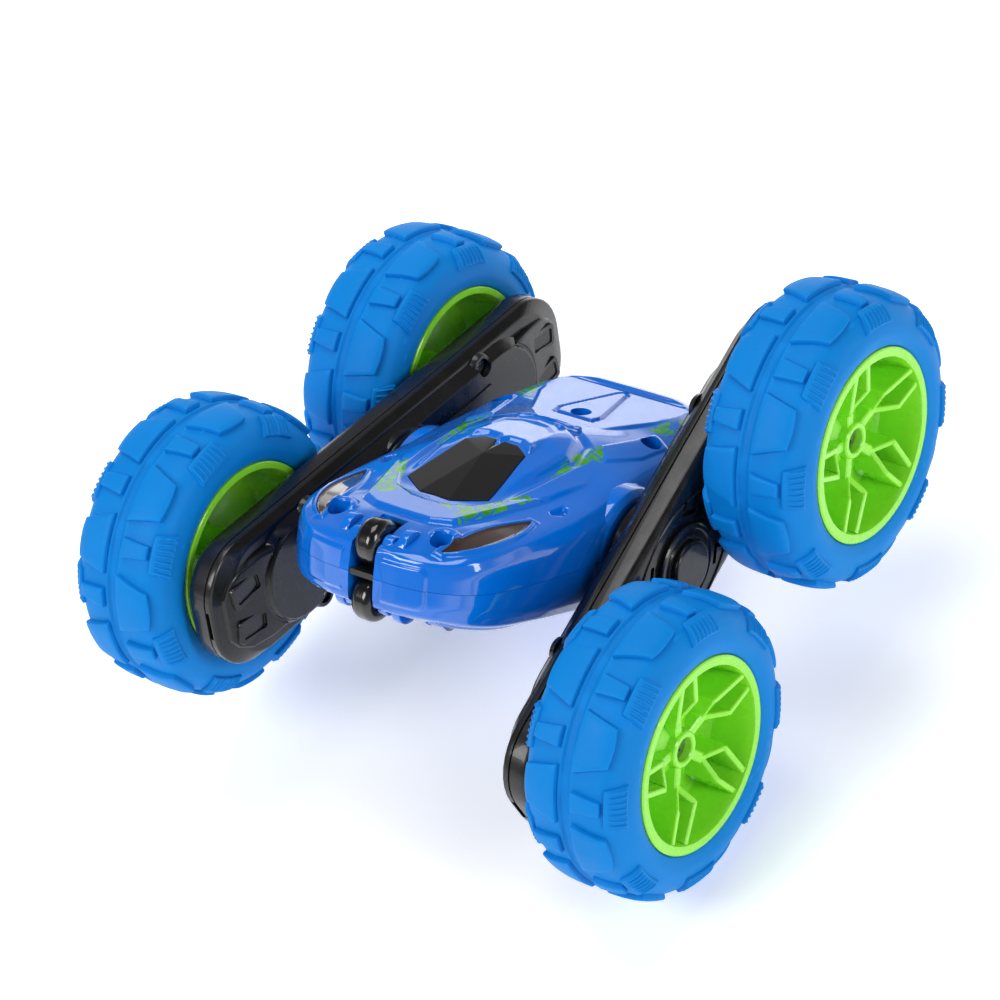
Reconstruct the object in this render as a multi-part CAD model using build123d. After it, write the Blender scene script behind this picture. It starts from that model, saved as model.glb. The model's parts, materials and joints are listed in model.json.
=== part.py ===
from build123d import *
import os
from math import acos, cos, pi, radians, sin, tan

# Double-sided stunt car: a thin two-faced body hangs on a crosswise pivot between two long arms.
# Each arm carries two big wheels and its own motor and gear train, and turns freely end over end.
# X is the car's left, the nose points to -Y, +Z is up. Millimetres.

# ---- overall layout ----
TYRE_RADIUS = 43.0
WHEEL_SPACING = 51.2            # pivot axis to wheel axis, along an arm
TYRE_MID = 74.5                 # car mid-plane to tyre mid-plane
TYRE_HALF_WIDTH = 17.0
ARM_PITCH = 12.59               # left arm nose down, right arm nose up by this angle at rest
BODY_PITCH = 32.0               # body nose up at rest
PIVOT_HEIGHT = TYRE_RADIUS + WHEEL_SPACING * sin(radians(ARM_PITCH))

# ---- fits ----
RUNNING_FIT = 0.08              # radial clearance of turning pairs
SEAT_GAP = 0.05                 # clearance of parts fixed to each other
TRIM_GAP = 0.15                 # joint gap round lenses, glass and doors

# ---- body ----
BODY_WALL = 2.2
SIDE_FACE = 38.4                # outermost face of the body, beside the pivot
FAIRING_RADIUS = 18.0
BEARING_FACE = 32.2
TRIM_THICKNESS = 1.3
GLASS_PROUD = 0.35
GLASS_HALF = [(0, -43.0), (5.0, -43.0), (14.0, -37.0), (10.4, -16.1), (5.7, -13.3), (1.5, -13.6),
              (0, -17.2)]            # plan from the base over one side to the notch
MECHANISM_WELL = (16.5, 17.5)   # half length and half height of the space round the pivot tubes
PILLAR_RADIUS = 4.4
SCREW_SPOTS = [(17.7, -62.6, 6.0), (26.4, 22.5, 8.5)]   # x, y, underside of the head
COVER_SCREW = (0.0, 24.9, 21.0)
SCREW_HEAD = (2.7, 1.9)         # radius, height
SCREW_SHANK = (1.4, 12.0)       # radius, length
CROSS_SLOT = ((1.7, 0.35), (0.35, 1.7))     # half widths of the two slots of a body screw's cross
COVER_TRIANGLE = (36.0, 22.0, 12.0, 0.7)    # middle, long sides, base and depth of the deck recess
DOOR = (19.5, 12.5, 50.5)       # half width, front edge, rear edge
DOOR_LEDGE = 1.5
DOOR_CORNER = 3.0
DOOR_SCREW = (0.0, 18.2, 22.4)  # x, y, depth of the head's seat below the parting plane
SWITCH_SLOT = (2.1, -5.4, 3.4)  # half width, front end, rear end
SWITCH_RIB_X = 4.1
BATTERY_WALL_X = 18.2
BOARD = (26.0, -42.0, -18.0, 0.8)       # half width, front edge, rear edge, half thickness
BOARD_POSTS = (20.5, (-39.0, -21.0))
LED_SPOT = (24.0, -46.7)
LED_RADIUS = 2.5

# ---- guide rollers ----
ROLLER_HALF_WIDTH = 3.7
ROLLER_SLOT = 4.3
NOSE_ROLLER = (-67.5, 8.0, 6.7)     # y, z, radius
TAIL_ROLLER = (61.3, 17.6, 6.5)
PIN_RADIUS = 1.0
PIN_HALF_LENGTH = 8.0
ARCH_RADIUS = 4.5                   # round ribs beside the nose roller
EAR_RADIUS = 4.2                    # ears that hold the tail rollers' pins

# ---- arms, measured from the car mid-plane outwards ----
ARM_HALF_LENGTH = 83.0
ARM_HALF_HEIGHT = 19.7
ARM_CORNER = 15.5
ARM_WALL = 1.6
ARM_INNER_FACE = 42.5
ARM_SHOULDER = 44.2
ARM_PARTING = 48.6
ARM_OUTER_FACE = 55.5
HUB_FACE = 39.3
HUB_RADIUS = 14.5
TUBE_RADIUS = 12.0
TUBE_BORE = 10.2
TUBE_END = 20.0
FLANGE = (29.8, 31.8, 14.0)         # inner end, outer end, radius
MOTOR = (14.2, 39.1, 10.0, 7.7)     # inner end, outer end, radius, half height over the flats
RING_FACE = 57.0
RING_RADIUS = 12.0
CAP_FACE = 58.7
CAP_RADIUS = 7.9
CLIP_SLOT = (13.4, 15.6, 3.2, 0.8)  # inner and outer radius, half width, depth
END_POCKET = (20.5, (150, 210), 4.4, 7.6)   # distance from the axle, directions, size
AXLE_BOSS_RADIUS = 5.0
PIN_BOSS_RADIUS = 2.4
ARM_SCREWS = [(41.0, 14.4), (41.0, -14.4)]
ARM_SCREW_BOSS = 3.3
ARM_SCREW_SEAT = 45.0
ARM_SCREW_HEAD = (2.3, 1.5)
ARM_SCREW_SHANK = (1.1, 7.5)

# ---- gear train ----
FINE_MODULE = 0.6
COARSE_MODULE = 0.8
MOTOR_TEETH = 10
LARGE_TEETH = 42
SMALL_TEETH = 12
IDLER_TEETH = 26
WHEEL_TEETH = 25
COMPOUND_Y = FINE_MODULE * (MOTOR_TEETH + LARGE_TEETH) / 2
IDLER_Y = COMPOUND_Y + COARSE_MODULE * (SMALL_TEETH + IDLER_TEETH) / 2
GEAR_PIN_RADIUS = 1.0
LOW_GEARS = (45.4, 48.0)            # layer of the motor pinion and the large wheels
HIGH_GEARS = (48.9, 52.2)           # layer of the idlers and the wheel gears
BACKLASH = 0.2
PRESSURE_ANGLE = radians(20)

# ---- wheels, measured outwards from the tyre mid-plane ----
RIM_LIP = 16.0
RIM_LIP_RADIUS = 28.1
RIM_BEAD_RADIUS = 27.5
RIM_HUB_RADIUS = 5.3
RIM_HUB_FACE = 8.8
AXLE_RADIUS = 2.5
AXLE_FLAT = 1.9
AXLE_END = 3.2
SPOKES = 5
WHEEL_SCREW_HEAD = (3.2, 1.9)
WHEEL_SCREW_SHANK = 1.2
SCREW_SEAT_X = 5.8

# ---- form of the body ----
# Half sections of the upper body at stations along Y: (x, z) from the parting line over the
# shoulder, the deck edge and the deck to the centre line.
STATIONS = [
    (-72.9, [(12.5, 0), (12.4, 4.2), (11.8, 7.2), (9.0, 8.2), (4.5, 8.4), (0, 8.4)]),
    (-70.8, [(21.2, 0), (21.0, 4.6), (20.2, 7.8), (14.0, 9.2), (7.0, 9.6), (0, 9.6)]),
    (-67.5, [(27.0, 0), (26.8, 5.0), (25.8, 8.4), (17.0, 10.2), (8.5, 10.8), (0, 10.8)]),
    (-62.4, [(31.6, 0), (31.4, 5.8), (30.0, 9.8), (18.5, 12.0), (9.5, 12.6), (0, 12.6)]),
    (-54.0, [(34.8, 0), (34.6, 6.8), (32.6, 11.4), (20.0, 13.4), (10.0, 13.8), (0, 13.9)]),
    (-40.8, [(36.7, 0), (36.4, 8.0), (34.2, 12.6), (21.0, 14.6), (10.9, 14.4), (0, 14.8)]),
    (-27.0, [(37.9, 0), (37.6, 9.0), (34.8, 13.8), (21.0, 17.0), (12.0, 18.2), (0, 19.0)]),
    (-12.0, [(38.0, 0), (37.8, 10.2), (34.4, 15.6), (21.0, 20.4), (10.4, 23.6), (0, 24.4)]),
    (-4.0, [(38.0, 0), (37.8, 11.2), (33.8, 17.2), (21.5, 22.0), (10.6, 26.0), (0, 26.8)]),
    (10.0, [(38.0, 0), (37.6, 12.2), (33.2, 19.2), (23.0, 23.0), (13.0, 25.6), (0, 26.4)]),
    (25.0, [(37.4, 0), (37.0, 13.0), (32.4, 20.8), (26.0, 24.0), (14.0, 25.0), (0, 25.2)]),
    (42.0, [(34.6, 0), (34.0, 13.2), (29.6, 22.4), (24.0, 26.4), (15.0, 27.4), (0, 27.5)]),
    (53.0, [(29.6, 0), (28.8, 12.4), (25.4, 21.4), (20.6, 26.2), (13.0, 27.5), (0, 27.6)]),
    (59.0, [(25.4, 0), (24.6, 10.0), (22.0, 16.4), (18.0, 20.6), (11.5, 22.6), (0, 22.8)]),
]
CAVITY_STATIONS = range(4, 13)


# ---------------------------------------------------------------- helpers

def along_x(radius, x_from, x_to, y=0.0, z=0.0):
    """Cylinder whose axis runs along X."""
    length = x_to - x_from
    return Pos((x_from + x_to) / 2, y, z) * Rot(0, 90, 0) * Cylinder(radius, length)


def along_z(radius, z_from, z_to, x=0.0, y=0.0):
    """Upright cylinder."""
    return Pos(x, y, (z_from + z_to) / 2) * Cylinder(radius, z_to - z_from)


def block(x, y, z):
    """Box between two values on each axis."""
    centre = Pos((x[0] + x[1]) / 2, (y[0] + y[1]) / 2, (z[0] + z[1]) / 2)
    return centre * Box(x[1] - x[0], y[1] - y[0], z[1] - z[0])


def spun(points_and_arcs):
    """Solid turned round the X axis from an outline in (x, radius)."""
    return revolve(make_face(points_and_arcs), axis=Axis.X)


def across(x):
    """Plane at distance x from the mid-plane, drawn in (y, z)."""
    return Plane(origin=(x, 0, 0), x_dir=(0, 1, 0), z_dir=(1, 0, 0))


def both_sides(shape):
    """The shape and its copy mirrored left to right."""
    return [shape, mirror(shape, about=Plane.YZ)]


def body_place(shape):
    return Pos(0, 0, PIVOT_HEIGHT) * Rot(-BODY_PITCH, 0, 0) * shape


def arm_place(shape, side):
    """Put a part drawn for the level left arm on the left or the right arm."""
    if side == "right":
        return Pos(0, 0, PIVOT_HEIGHT) * Rot(-ARM_PITCH, 0, 0) * mirror(shape, about=Plane.YZ)
    return Pos(0, 0, PIVOT_HEIGHT) * Rot(ARM_PITCH, 0, 0) * shape


def save(shape, node):
    export_step(shape, "parts/" + node + ".step")


# ---------------------------------------------------------------- body shells

def section(y, half):
    """Face of one closed section above the parting plane."""
    mirrored = [(-x, z) for x, z in reversed(half[:-1])]
    plane = Plane(origin=(0, y, 0), x_dir=(1, 0, 0), z_dir=(0, -1, 0))
    return plane * make_face(Polyline(*half, *mirrored, close=True))


def outer_body():
    return loft([section(y, half) for y, half in STATIONS], ruled=True)


def body_cavity():
    """The outer form drawn in by the wall, between the nose and the tail blocks."""
    faces = []
    for index in CAVITY_STATIONS:
        y, half = STATIONS[index]
        inner = [(max(x - BODY_WALL, 0.0), z - BODY_WALL if z > 0 else 0.0) for x, z in half]
        shifted = y + (2.0 if index == CAVITY_STATIONS[0] else 0.0)
        shifted -= 2.0 if index == CAVITY_STATIONS[-1] else 0.0
        faces.append(section(shifted, inner))
    return loft(faces, ruled=True)


def lens_outline(grow=0.0):
    """Almond plan of the left headlamp lens, tip to tip. Its sharp tips grow along its length."""
    front = Vector(20.6, -66.4)
    rear = Vector(28.6, -37.0)
    reach = (rear - front).normalized() * (3 * grow)
    outer = ThreePointArc(front - reach, (29.0 + grow, -54.0), rear + reach)
    inner = ThreePointArc(rear + reach, (24.0 - grow, -52.0), front - reach)
    return make_face(outer + inner)


def glass_outline(grow=0.0):
    """Plan of the windscreen: wide at its front corners, with a notch at the roof."""
    mirrored = [(-x, y) for x, y in reversed(GLASS_HALF[1:-1])]
    outline = make_face(Polyline(*GLASS_HALF, *mirrored, close=True))
    return offset(outline, amount=grow, kind=Kind.INTERSECTION) if grow else outline


def skin(outline, body, thickness, proud=0.0):
    """Layer of the body's surface inside a plan outline, from thickness deep to proud above."""
    prism = extrude(outline, amount=60)
    lifted = Pos(0, 0, proud) * body
    sunk = Pos(0, 0, -thickness) * body
    return (prism & lifted) - sunk


def roller_slots():
    nose_y = NOSE_ROLLER[0] + NOSE_ROLLER[2] + 1.0
    tail_y = TAIL_ROLLER[0] - TAIL_ROLLER[2] - 1.0
    slot = (-ROLLER_SLOT, ROLLER_SLOT)
    return [block(slot, (-90, nose_y), (-40, 40)), block(slot, (tail_y, 90), (-40, 40))]


def half_shell(body, cuts, pillars=()):
    """Upper half of the casing. The lower half is its mirror image with its own cut-outs."""
    shell = body - body_cavity()
    # pivot bearings and their fairings
    for side in (1, -1):
        near, far = sorted((side * BEARING_FACE, side * SIDE_FACE))
        shell += along_x(FAIRING_RADIUS, near, far)
    # arches beside the nose roller and ears for the tail roller's pin
    arch_y, arch_z, _ = NOSE_ROLLER
    ear_y, ear_z, _ = TAIL_ROLLER
    for side in (1, -1):
        near, far = sorted((side * ROLLER_SLOT, side * (PIN_HALF_LENGTH + 3.0)))
        shell += along_x(ARCH_RADIUS, near, far, arch_y + 1.6, arch_z)
        near, far = sorted((side * ROLLER_SLOT, side * (PIN_HALF_LENGTH + 1.0)))
        shell += along_x(EAR_RADIUS, near, far, ear_y, ear_z)
    # screw pillars, up to the deck
    for x, y, _ in SCREW_SPOTS:
        for side in (1, -1):
            shell += along_z(PILLAR_RADIUS, 0, 40, side * x, y) & body
    for pillar in pillars:
        shell += pillar & body
    above = block((-60, 60), (-90, 90), (0, 60))
    shell = shell & above
    shell -= along_x(TUBE_RADIUS + RUNNING_FIT, -60, 60)
    length, height = MECHANISM_WELL
    shell -= block((-BEARING_FACE, BEARING_FACE), (-length, length), (-1, height))
    for cut in roller_slots() + cuts:
        shell -= cut
    for y, z, _ in (NOSE_ROLLER, TAIL_ROLLER):
        reach = PIN_HALF_LENGTH + SEAT_GAP
        shell -= along_x(PIN_RADIUS + SEAT_GAP, -reach, reach, y, z)
    return shell


def screw_cuts():
    """Counterbores and clearance holes seen from above."""
    cuts = []
    head, _ = SCREW_HEAD
    for x, y, seat in SCREW_SPOTS:
        for side in (1, -1):
            cuts.append(along_z(head + 0.4, seat, 60, side * x, y))
            cuts.append(along_z(SCREW_SHANK[0] + 0.2, -1, seat + 1, side * x, y))
    x, y, seat = COVER_SCREW
    cuts.append(along_z(head + 0.4, seat, 60, x, y))
    cuts.append(along_z(SCREW_SHANK[0] + SEAT_GAP, seat - SCREW_SHANK[1] - 0.3, seat + 1, x, y))
    return cuts


def pilot_cuts():
    """Pilot holes for the shanks in the lower half, and blind dimples on its face."""
    cuts = []
    for x, y, seat in SCREW_SPOTS:
        for side in (1, -1):
            tip = seat - SCREW_SHANK[1] - 0.3
            cuts.append(along_z(SCREW_SHANK[0] + SEAT_GAP, tip, 1, side * x, y))
            cuts.append(along_z(SCREW_HEAD[0] + 0.4, -60, -seat - 2.2, side * x, y))
    return cuts


BODY = outer_body()
UNDER = mirror(BODY, about=Plane.XY)


def lens_pockets():
    cuts = []
    cuts += both_sides(skin(lens_outline(TRIM_GAP), BODY, TRIM_THICKNESS + SEAT_GAP, 1.0))
    cuts += both_sides(extrude(lens_outline(-1.6), amount=60) & block((0, 60), (-90, -20), (3, 60)))
    return cuts


def door_outline(grow=0.0):
    half_width, front, rear = DOOR
    size = (2 * (half_width + grow), rear - front + 2 * grow)
    return Pos(0, (front + rear) / 2) * RectangleRounded(*size, DOOR_CORNER)


def build_shells():
    glass_seat = skin(glass_outline(TRIM_GAP), BODY, TRIM_THICKNESS + SEAT_GAP, 1.0)
    shared = lens_pockets() + [glass_seat]
    x, y, seat = COVER_SCREW
    cover_pillar = along_z(PILLAR_RADIUS, seat - SCREW_SHANK[1] - 1.0, 40, x, y)
    upper = half_shell(BODY, shared + screw_cuts(), [cover_pillar])
    middle, slant, base, depth = COVER_TRIANGLE
    recess = Pos(0, middle) * Triangle(a=slant, b=slant, c=base, align=Align.CENTER)
    upper -= skin(recess, BODY, depth, 1.0)
    lower = mirror(half_shell(BODY, shared), about=Plane.XY)
    for cut in pilot_cuts():
        lower -= cut
    # battery door seat with its opening, and the switch slot
    seat = mirror(skin(door_outline(TRIM_GAP), BODY, TRIM_THICKNESS + SEAT_GAP, 1.0), about=Plane.XY)
    opening = extrude(door_outline(-DOOR_LEDGE), amount=-60)
    opening &= block((-40, 40), (-40, 60), (-60, -10))
    lower = lower - seat - opening
    # pillar of the door screw, on a web from the deck in front of the door
    x, y, depth = DOOR_SCREW
    top = -depth + 1.6
    lower += along_z(3.7, top, -12.0, x, y) + block((-1.6, 1.6), (8.0, y), (top, -12.0))
    lower += block((-1.6, 1.6), (8.0, 12.0), (-24.4, top))
    lower -= along_z(SCREW_SHANK[0] + SEAT_GAP, -40, 0, x, y)
    half_width, front, rear = SWITCH_SLOT
    lower -= block((-half_width, half_width), (front, rear), (-40, -20))
    # ribs of the switch, walls of the battery box and posts of the circuit board
    for side in (1, -1):
        rib = sorted((side * SWITCH_RIB_X, side * (SWITCH_RIB_X + 1.2)))
        lower += block(rib, (-7.0, 5.0), (-25.0, -19.0))
        wall = sorted((side * BATTERY_WALL_X, side * (BATTERY_WALL_X + 1.2)))
        lower += block(wall, (20.0, 52.0), (-22.5, -1.0))
        post_x, post_ys = BOARD_POSTS
        for y in post_ys:
            lower += along_z(2.0, -40, -BOARD[3] - SEAT_GAP, side * post_x, y) & UNDER
    return upper, lower


def build_door():
    """Door with a sunk cup for its screw."""
    plate = mirror(skin(door_outline(), BODY, TRIM_THICKNESS, 0.0), about=Plane.XY)
    x, y, depth = DOOR_SCREW
    floor = -depth + 1.5
    plate += along_z(SCREW_HEAD[0] + 1.2, -depth - 2.6, floor, x, y) & UNDER
    plate -= along_z(SCREW_HEAD[0] + 0.4, -60, -depth, x, y)
    return plate - along_z(SCREW_SHANK[0] + 0.2, -60, 0, x, y)


def body_screw(x, y, seat):
    head, height = SCREW_HEAD
    shank, length = SCREW_SHANK
    screw = along_z(head, seat, seat + height, x, y) + along_z(shank, seat - length, seat, x, y)
    slot_floor = seat + height - 1.0
    for half in CROSS_SLOT:
        screw -= block((x - half[0], x + half[0]), (y - half[1], y + half[1]), (slot_floor, seat + 9))
    return screw


def roller(y, z, radius):
    """Round-edged roller with a running bore."""
    wheel = along_x(radius, -ROLLER_HALF_WIDTH, ROLLER_HALF_WIDTH, y, z)
    wheel = fillet(wheel.edges().filter_by(GeomType.CIRCLE), 2.6)
    return wheel - along_x(PIN_RADIUS + RUNNING_FIT, -9, 9, y, z)


def roller_bracket(ends, rib, back, height):
    """Dark insert of a roller slot: a back plate and the rib between the two rollers."""
    half = ROLLER_SLOT - 0.1
    plate = block((-half, half), back, (-height, height))
    return plate + block((-half, half), ends, (-rib, rib))


def build_body():
    upper, lower = build_shells()
    parts = {"upper_shell": upper, "lower_shell": lower}
    glass = skin(glass_outline(), BODY, TRIM_THICKNESS, GLASS_PROUD)
    parts["windscreen_top"] = glass
    parts["windscreen_bottom"] = mirror(glass, about=Plane.XY)
    lens = skin(lens_outline(), BODY, TRIM_THICKNESS, 0.0)
    for name, shape in zip(("left", "right"), both_sides(lens)):
        parts["headlamp_lens_top_" + name] = shape
        parts["headlamp_lens_bottom_" + name] = mirror(shape, about=Plane.XY)
    parts["headlamp_leds"] = Compound(both_sides(headlamp_led()))
    parts["roller_bracket_nose"] = roller_bracket((-73.6, -60.3), 0.8, (-60.6, -59.9), 12.0)
    parts["roller_bracket_tail"] = roller_bracket((54.3, 61.5), 6.0, (53.9, 54.7), 21.0)
    pins = []
    for name, (y, z, radius) in (("nose", NOSE_ROLLER), ("tail", TAIL_ROLLER)):
        for face, level in (("top", z), ("bottom", -z)):
            parts["roller_" + name + "_" + face] = roller(y, level, radius)
            pins.append(along_x(PIN_RADIUS, -PIN_HALF_LENGTH, PIN_HALF_LENGTH, y, level))
    parts["roller_pins"] = Compound(pins)
    screws = [body_screw(side * x, y, seat) for x, y, seat in SCREW_SPOTS for side in (1, -1)]
    screws.append(body_screw(*COVER_SCREW))
    door_screw = mirror(body_screw(*DOOR_SCREW), about=Plane.XY)
    parts["body_screws"] = Compound(screws + [door_screw])
    parts["battery_door"] = build_door()
    parts["battery_pack"] = battery_pack()
    parts["circuit_board"] = circuit_board()
    parts["power_switch"] = power_switch()
    parts["switch_slider"] = switch_slider()
    for name, shape in parts.items():
        save(body_place(shape), name)


def headlamp_led():
    """Round light behind the left lenses, on two stiff leads from the board's front edge."""
    x, y = LED_SPOT
    led = Pos(x, y, 0) * Rot(90, 0, 0) * Cylinder(LED_RADIUS, 2 * LED_RADIUS)
    led += Pos(x, y - LED_RADIUS, 0) * Sphere(LED_RADIUS)
    led += Pos(x, y + 2.9, 0) * Rot(90, 0, 0) * Cylinder(LED_RADIUS + 0.4, 1.0)
    for lead in (x - 1.2, x + 1.2):
        led += block((lead - 0.25, lead + 0.25), (y + 3.1, BOARD[1] - SEAT_GAP), (-0.25, 0.25))
    return led


def battery_pack():
    """Two short cells side by side in one wrap, lying along the car."""
    pack = block((-8, 8), (20.2, 50.0), (-8.8, 7.4))
    for side in (1, -1):
        pack += Pos(side * 8.4, 35.1, -0.7) * Rot(90, 0, 0) * Cylinder(8.1, 29.8)
    return pack


def circuit_board():
    half_width, front, rear, thick = BOARD
    board = block((-half_width, half_width), (front, rear), (-thick, thick))
    board += block((-8, 8), (-36, -26), (thick, 2.8))
    board += block((12, 20), (-34, -24), (thick, 5.8))
    board += block((-21, -13), (-40, -35), (thick, 6.0))
    board += along_z(2.6, thick, 8.0, -16, -24)
    board += along_z(2.6, thick, 8.0, 7, -21.5)
    for side in (1, -1):
        board += slip_contact(side)
    return board


def slip_contact(side):
    """Upright brush plate on a tongue of the board. It feeds a motor through its turning end."""
    reach = sorted((side * 10.6, side * 11.8))
    plate = block(sorted((side * 8.0, side * 11.8)), (-18.5, -5.0), (-0.8, 0.8))
    plate += block(reach, (-7, 7), (-8, 8))
    for z in (-4.0, 4.0):
        plate += block(sorted((side * 11.8, side * 13.7)), (-1.2, 1.2), (z - 1.0, z + 1.0))
    return plate


def power_switch():
    return block((-4.0, 4.0), (-7.0, 5.0), (-22.4, -18.0)) - block((-1.6, 1.6), (-4.6, 2.6), (-23, -20))


def switch_slider():
    stem = block((-1.4, 1.4), (-4.3, -0.7), (-24.0, -20.3))
    return stem + block((-1.9, 1.9), (-5.1, 0.1), (-25.6, -23.2))


# ---------------------------------------------------------------- arms

def rounded(half_length, half_height, corner, x):
    return across(x) * RectangleRounded(2 * half_length, 2 * half_height, corner)


def slab(half_length, half_height, corner, x_from, x_to):
    return extrude(rounded(half_length, half_height, corner, x_from), amount=x_to - x_from)


def arm_screw_spots():
    return [(side * y, z) for y, z in ARM_SCREWS for side in (1, -1)]


def inner_shell():
    """Arm half that faces the body, with the pivot hub, tube and flange."""
    shell = slab(ARM_HALF_LENGTH, ARM_HALF_HEIGHT, ARM_CORNER, 46.8, ARM_PARTING)
    rim = rounded(ARM_HALF_LENGTH, ARM_HALF_HEIGHT, ARM_CORNER, 46.8)
    top = rounded(ARM_HALF_LENGTH - 6.5, ARM_HALF_HEIGHT - 1.6, ARM_CORNER - 2.0, ARM_SHOULDER)
    shell += loft([rim, top], ruled=True)
    shell += slab(60.0, ARM_HALF_HEIGHT - 2.4, 15.0, ARM_INNER_FACE, ARM_SHOULDER)
    cavity = slab(ARM_HALF_LENGTH - ARM_WALL, ARM_HALF_HEIGHT - ARM_WALL, ARM_CORNER - ARM_WALL,
                  46.6, ARM_PARTING)
    cavity += slab(ARM_HALF_LENGTH - 8.0, ARM_HALF_HEIGHT - 3.4, ARM_CORNER - 3.4, 45.8, 46.6)
    cavity += slab(58.2, ARM_HALF_HEIGHT - 4.2, 13.2, ARM_INNER_FACE + ARM_WALL, 45.8)
    shell -= cavity
    for y, z in arm_screw_spots():
        shell += along_x(ARM_SCREW_BOSS, ARM_SCREW_SEAT - 0.2, ARM_PARTING, y, z)
        shell -= along_x(ARM_SCREW_HEAD[0] + 0.3, 40, ARM_SCREW_SEAT, y, z)
        shell -= along_x(ARM_SCREW_SHANK[0] + 0.15, 44, 49, y, z)
    # hub, tube and flange of the pivot
    shell += along_x(HUB_RADIUS, HUB_FACE, ARM_INNER_FACE + 0.5)
    shell += along_x(TUBE_RADIUS, TUBE_END, HUB_FACE + 0.5)
    shell += along_x(FLANGE[2], FLANGE[0], FLANGE[1])
    shell -= along_x(TUBE_BORE, TUBE_END - 1, MOTOR[1] + SEAT_GAP)
    shell -= along_x(3.3, MOTOR[1], 46)
    shell -= along_x(6.0, MOTOR[1] + 2.0, 46)
    # blind seats of the gear pins and of the two axles
    for y in (COMPOUND_Y, IDLER_Y):
        for side in (1, -1):
            radius, top = (PIN_BOSS_RADIUS, 45.1) if y == COMPOUND_Y else (1.7, 48.5)
            shell += along_x(radius, ARM_INNER_FACE + 1, top, side * y)
            shell -= along_x(GEAR_PIN_RADIUS + SEAT_GAP, ARM_SHOULDER - 0.6, 50, side * y)
    for side in (1, -1):
        shell += along_x(4.6, ARM_INNER_FACE + 1, 48.5, side * WHEEL_SPACING)
        shell -= along_x(AXLE_RADIUS + RUNNING_FIT, ARM_SHOULDER, 50, side * WHEEL_SPACING)
        # moulded pockets on the end band
        reach, angles, width, height = END_POCKET
        for angle in angles:
            spot_y = side * (WHEEL_SPACING - reach * cos(radians(angle)))
            spot_z = 0.9 * reach * sin(radians(angle))
            pocket = Rot(side * (180 - angle), 0, 0) * Box(3.0, width, height)
            depth = block((40, ARM_SHOULDER + 1.1), (-90, 90), (-20, 20))
            shell -= Pos(ARM_SHOULDER + 0.7, spot_y, spot_z) * pocket & depth
    return shell


def outer_shell():
    """Arm half that faces the wheels, with the axle bearings and the centre ring."""
    face = slab(ARM_HALF_LENGTH, ARM_HALF_HEIGHT, ARM_CORNER, ARM_PARTING, ARM_OUTER_FACE)
    rim = face.faces().sort_by(Axis.X)[-1].edges()
    shell = fillet(rim, 2.4)
    shell -= slab(ARM_HALF_LENGTH - ARM_WALL, ARM_HALF_HEIGHT - ARM_WALL, ARM_CORNER - ARM_WALL,
                  ARM_PARTING, ARM_OUTER_FACE - 2.4)
    cavity = slab(ARM_HALF_LENGTH - 3.2, ARM_HALF_HEIGHT - 3.2, ARM_CORNER - 3.2,
                  ARM_PARTING, ARM_OUTER_FACE - ARM_WALL)
    shell -= cavity
    shell += along_x(RING_RADIUS, ARM_OUTER_FACE - 1.0, RING_FACE)
    shell -= along_x(CAP_RADIUS + TRIM_GAP, RING_FACE - 0.7, RING_FACE + 1)
    shell -= along_x(3.1, 50, 60)
    for y, z in arm_screw_spots():
        shell += along_x(ARM_SCREW_BOSS, ARM_PARTING, ARM_OUTER_FACE - 1.0, y, z)
        shell -= along_x(ARM_SCREW_SHANK[0] + SEAT_GAP, 40, 53.0, y, z)
    for y in (COMPOUND_Y, IDLER_Y):
        for side in (1, -1):
            shell += along_x(PIN_BOSS_RADIUS, 52.5, ARM_OUTER_FACE - 1.0, side * y)
            shell -= along_x(GEAR_PIN_RADIUS + SEAT_GAP, 50, 54.0, side * y)
    for side in (1, -1):
        shell += along_x(AXLE_BOSS_RADIUS, 52.6, RING_FACE - 0.6, side * WHEEL_SPACING)
        shell -= along_x(AXLE_RADIUS + RUNNING_FIT, 50, 60, side * WHEEL_SPACING)
    # clip slots round the centre ring
    near, far, half_width, depth = CLIP_SLOT
    slot = block((ARM_OUTER_FACE - depth, 60), (near, far), (-half_width, half_width))
    for angle in (45, 135, 225, 315):
        shell -= Rot(angle, 0, 0) * slot
    return shell


def hub_cap():
    cap = along_x(CAP_RADIUS, RING_FACE - 0.65, CAP_FACE)
    cap = fillet(cap.faces().sort_by(Axis.X)[-1].edges(), 0.9)
    return cap + along_x(3.0, 52.6, RING_FACE - 0.6)


def motor():
    inner, outer, radius, flat = MOTOR
    can = along_x(radius, inner, outer) & block((0, 60), (-20, 20), (-flat, flat))
    can += along_x(3.1, outer - 1, outer + 1.6)
    return can - along_x(GEAR_PIN_RADIUS + RUNNING_FIT, outer - 6, outer + 5)


def arm_screw(y, z):
    head, height = ARM_SCREW_HEAD
    shank, length = ARM_SCREW_SHANK
    seat = ARM_SCREW_SEAT
    screw = along_x(head, seat - height, seat, y, z) + along_x(shank, seat, seat + length, y, z)
    for half in ((1.4, 0.3), (0.3, 1.4)):
        span = (y - half[0], y + half[0])
        screw -= block((seat - height - 1, seat - height + 0.8), span, (z - half[1], z + half[1]))
    return screw


# ---------------------------------------------------------------- gears

def involute(angle):
    return tan(angle) - angle


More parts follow.
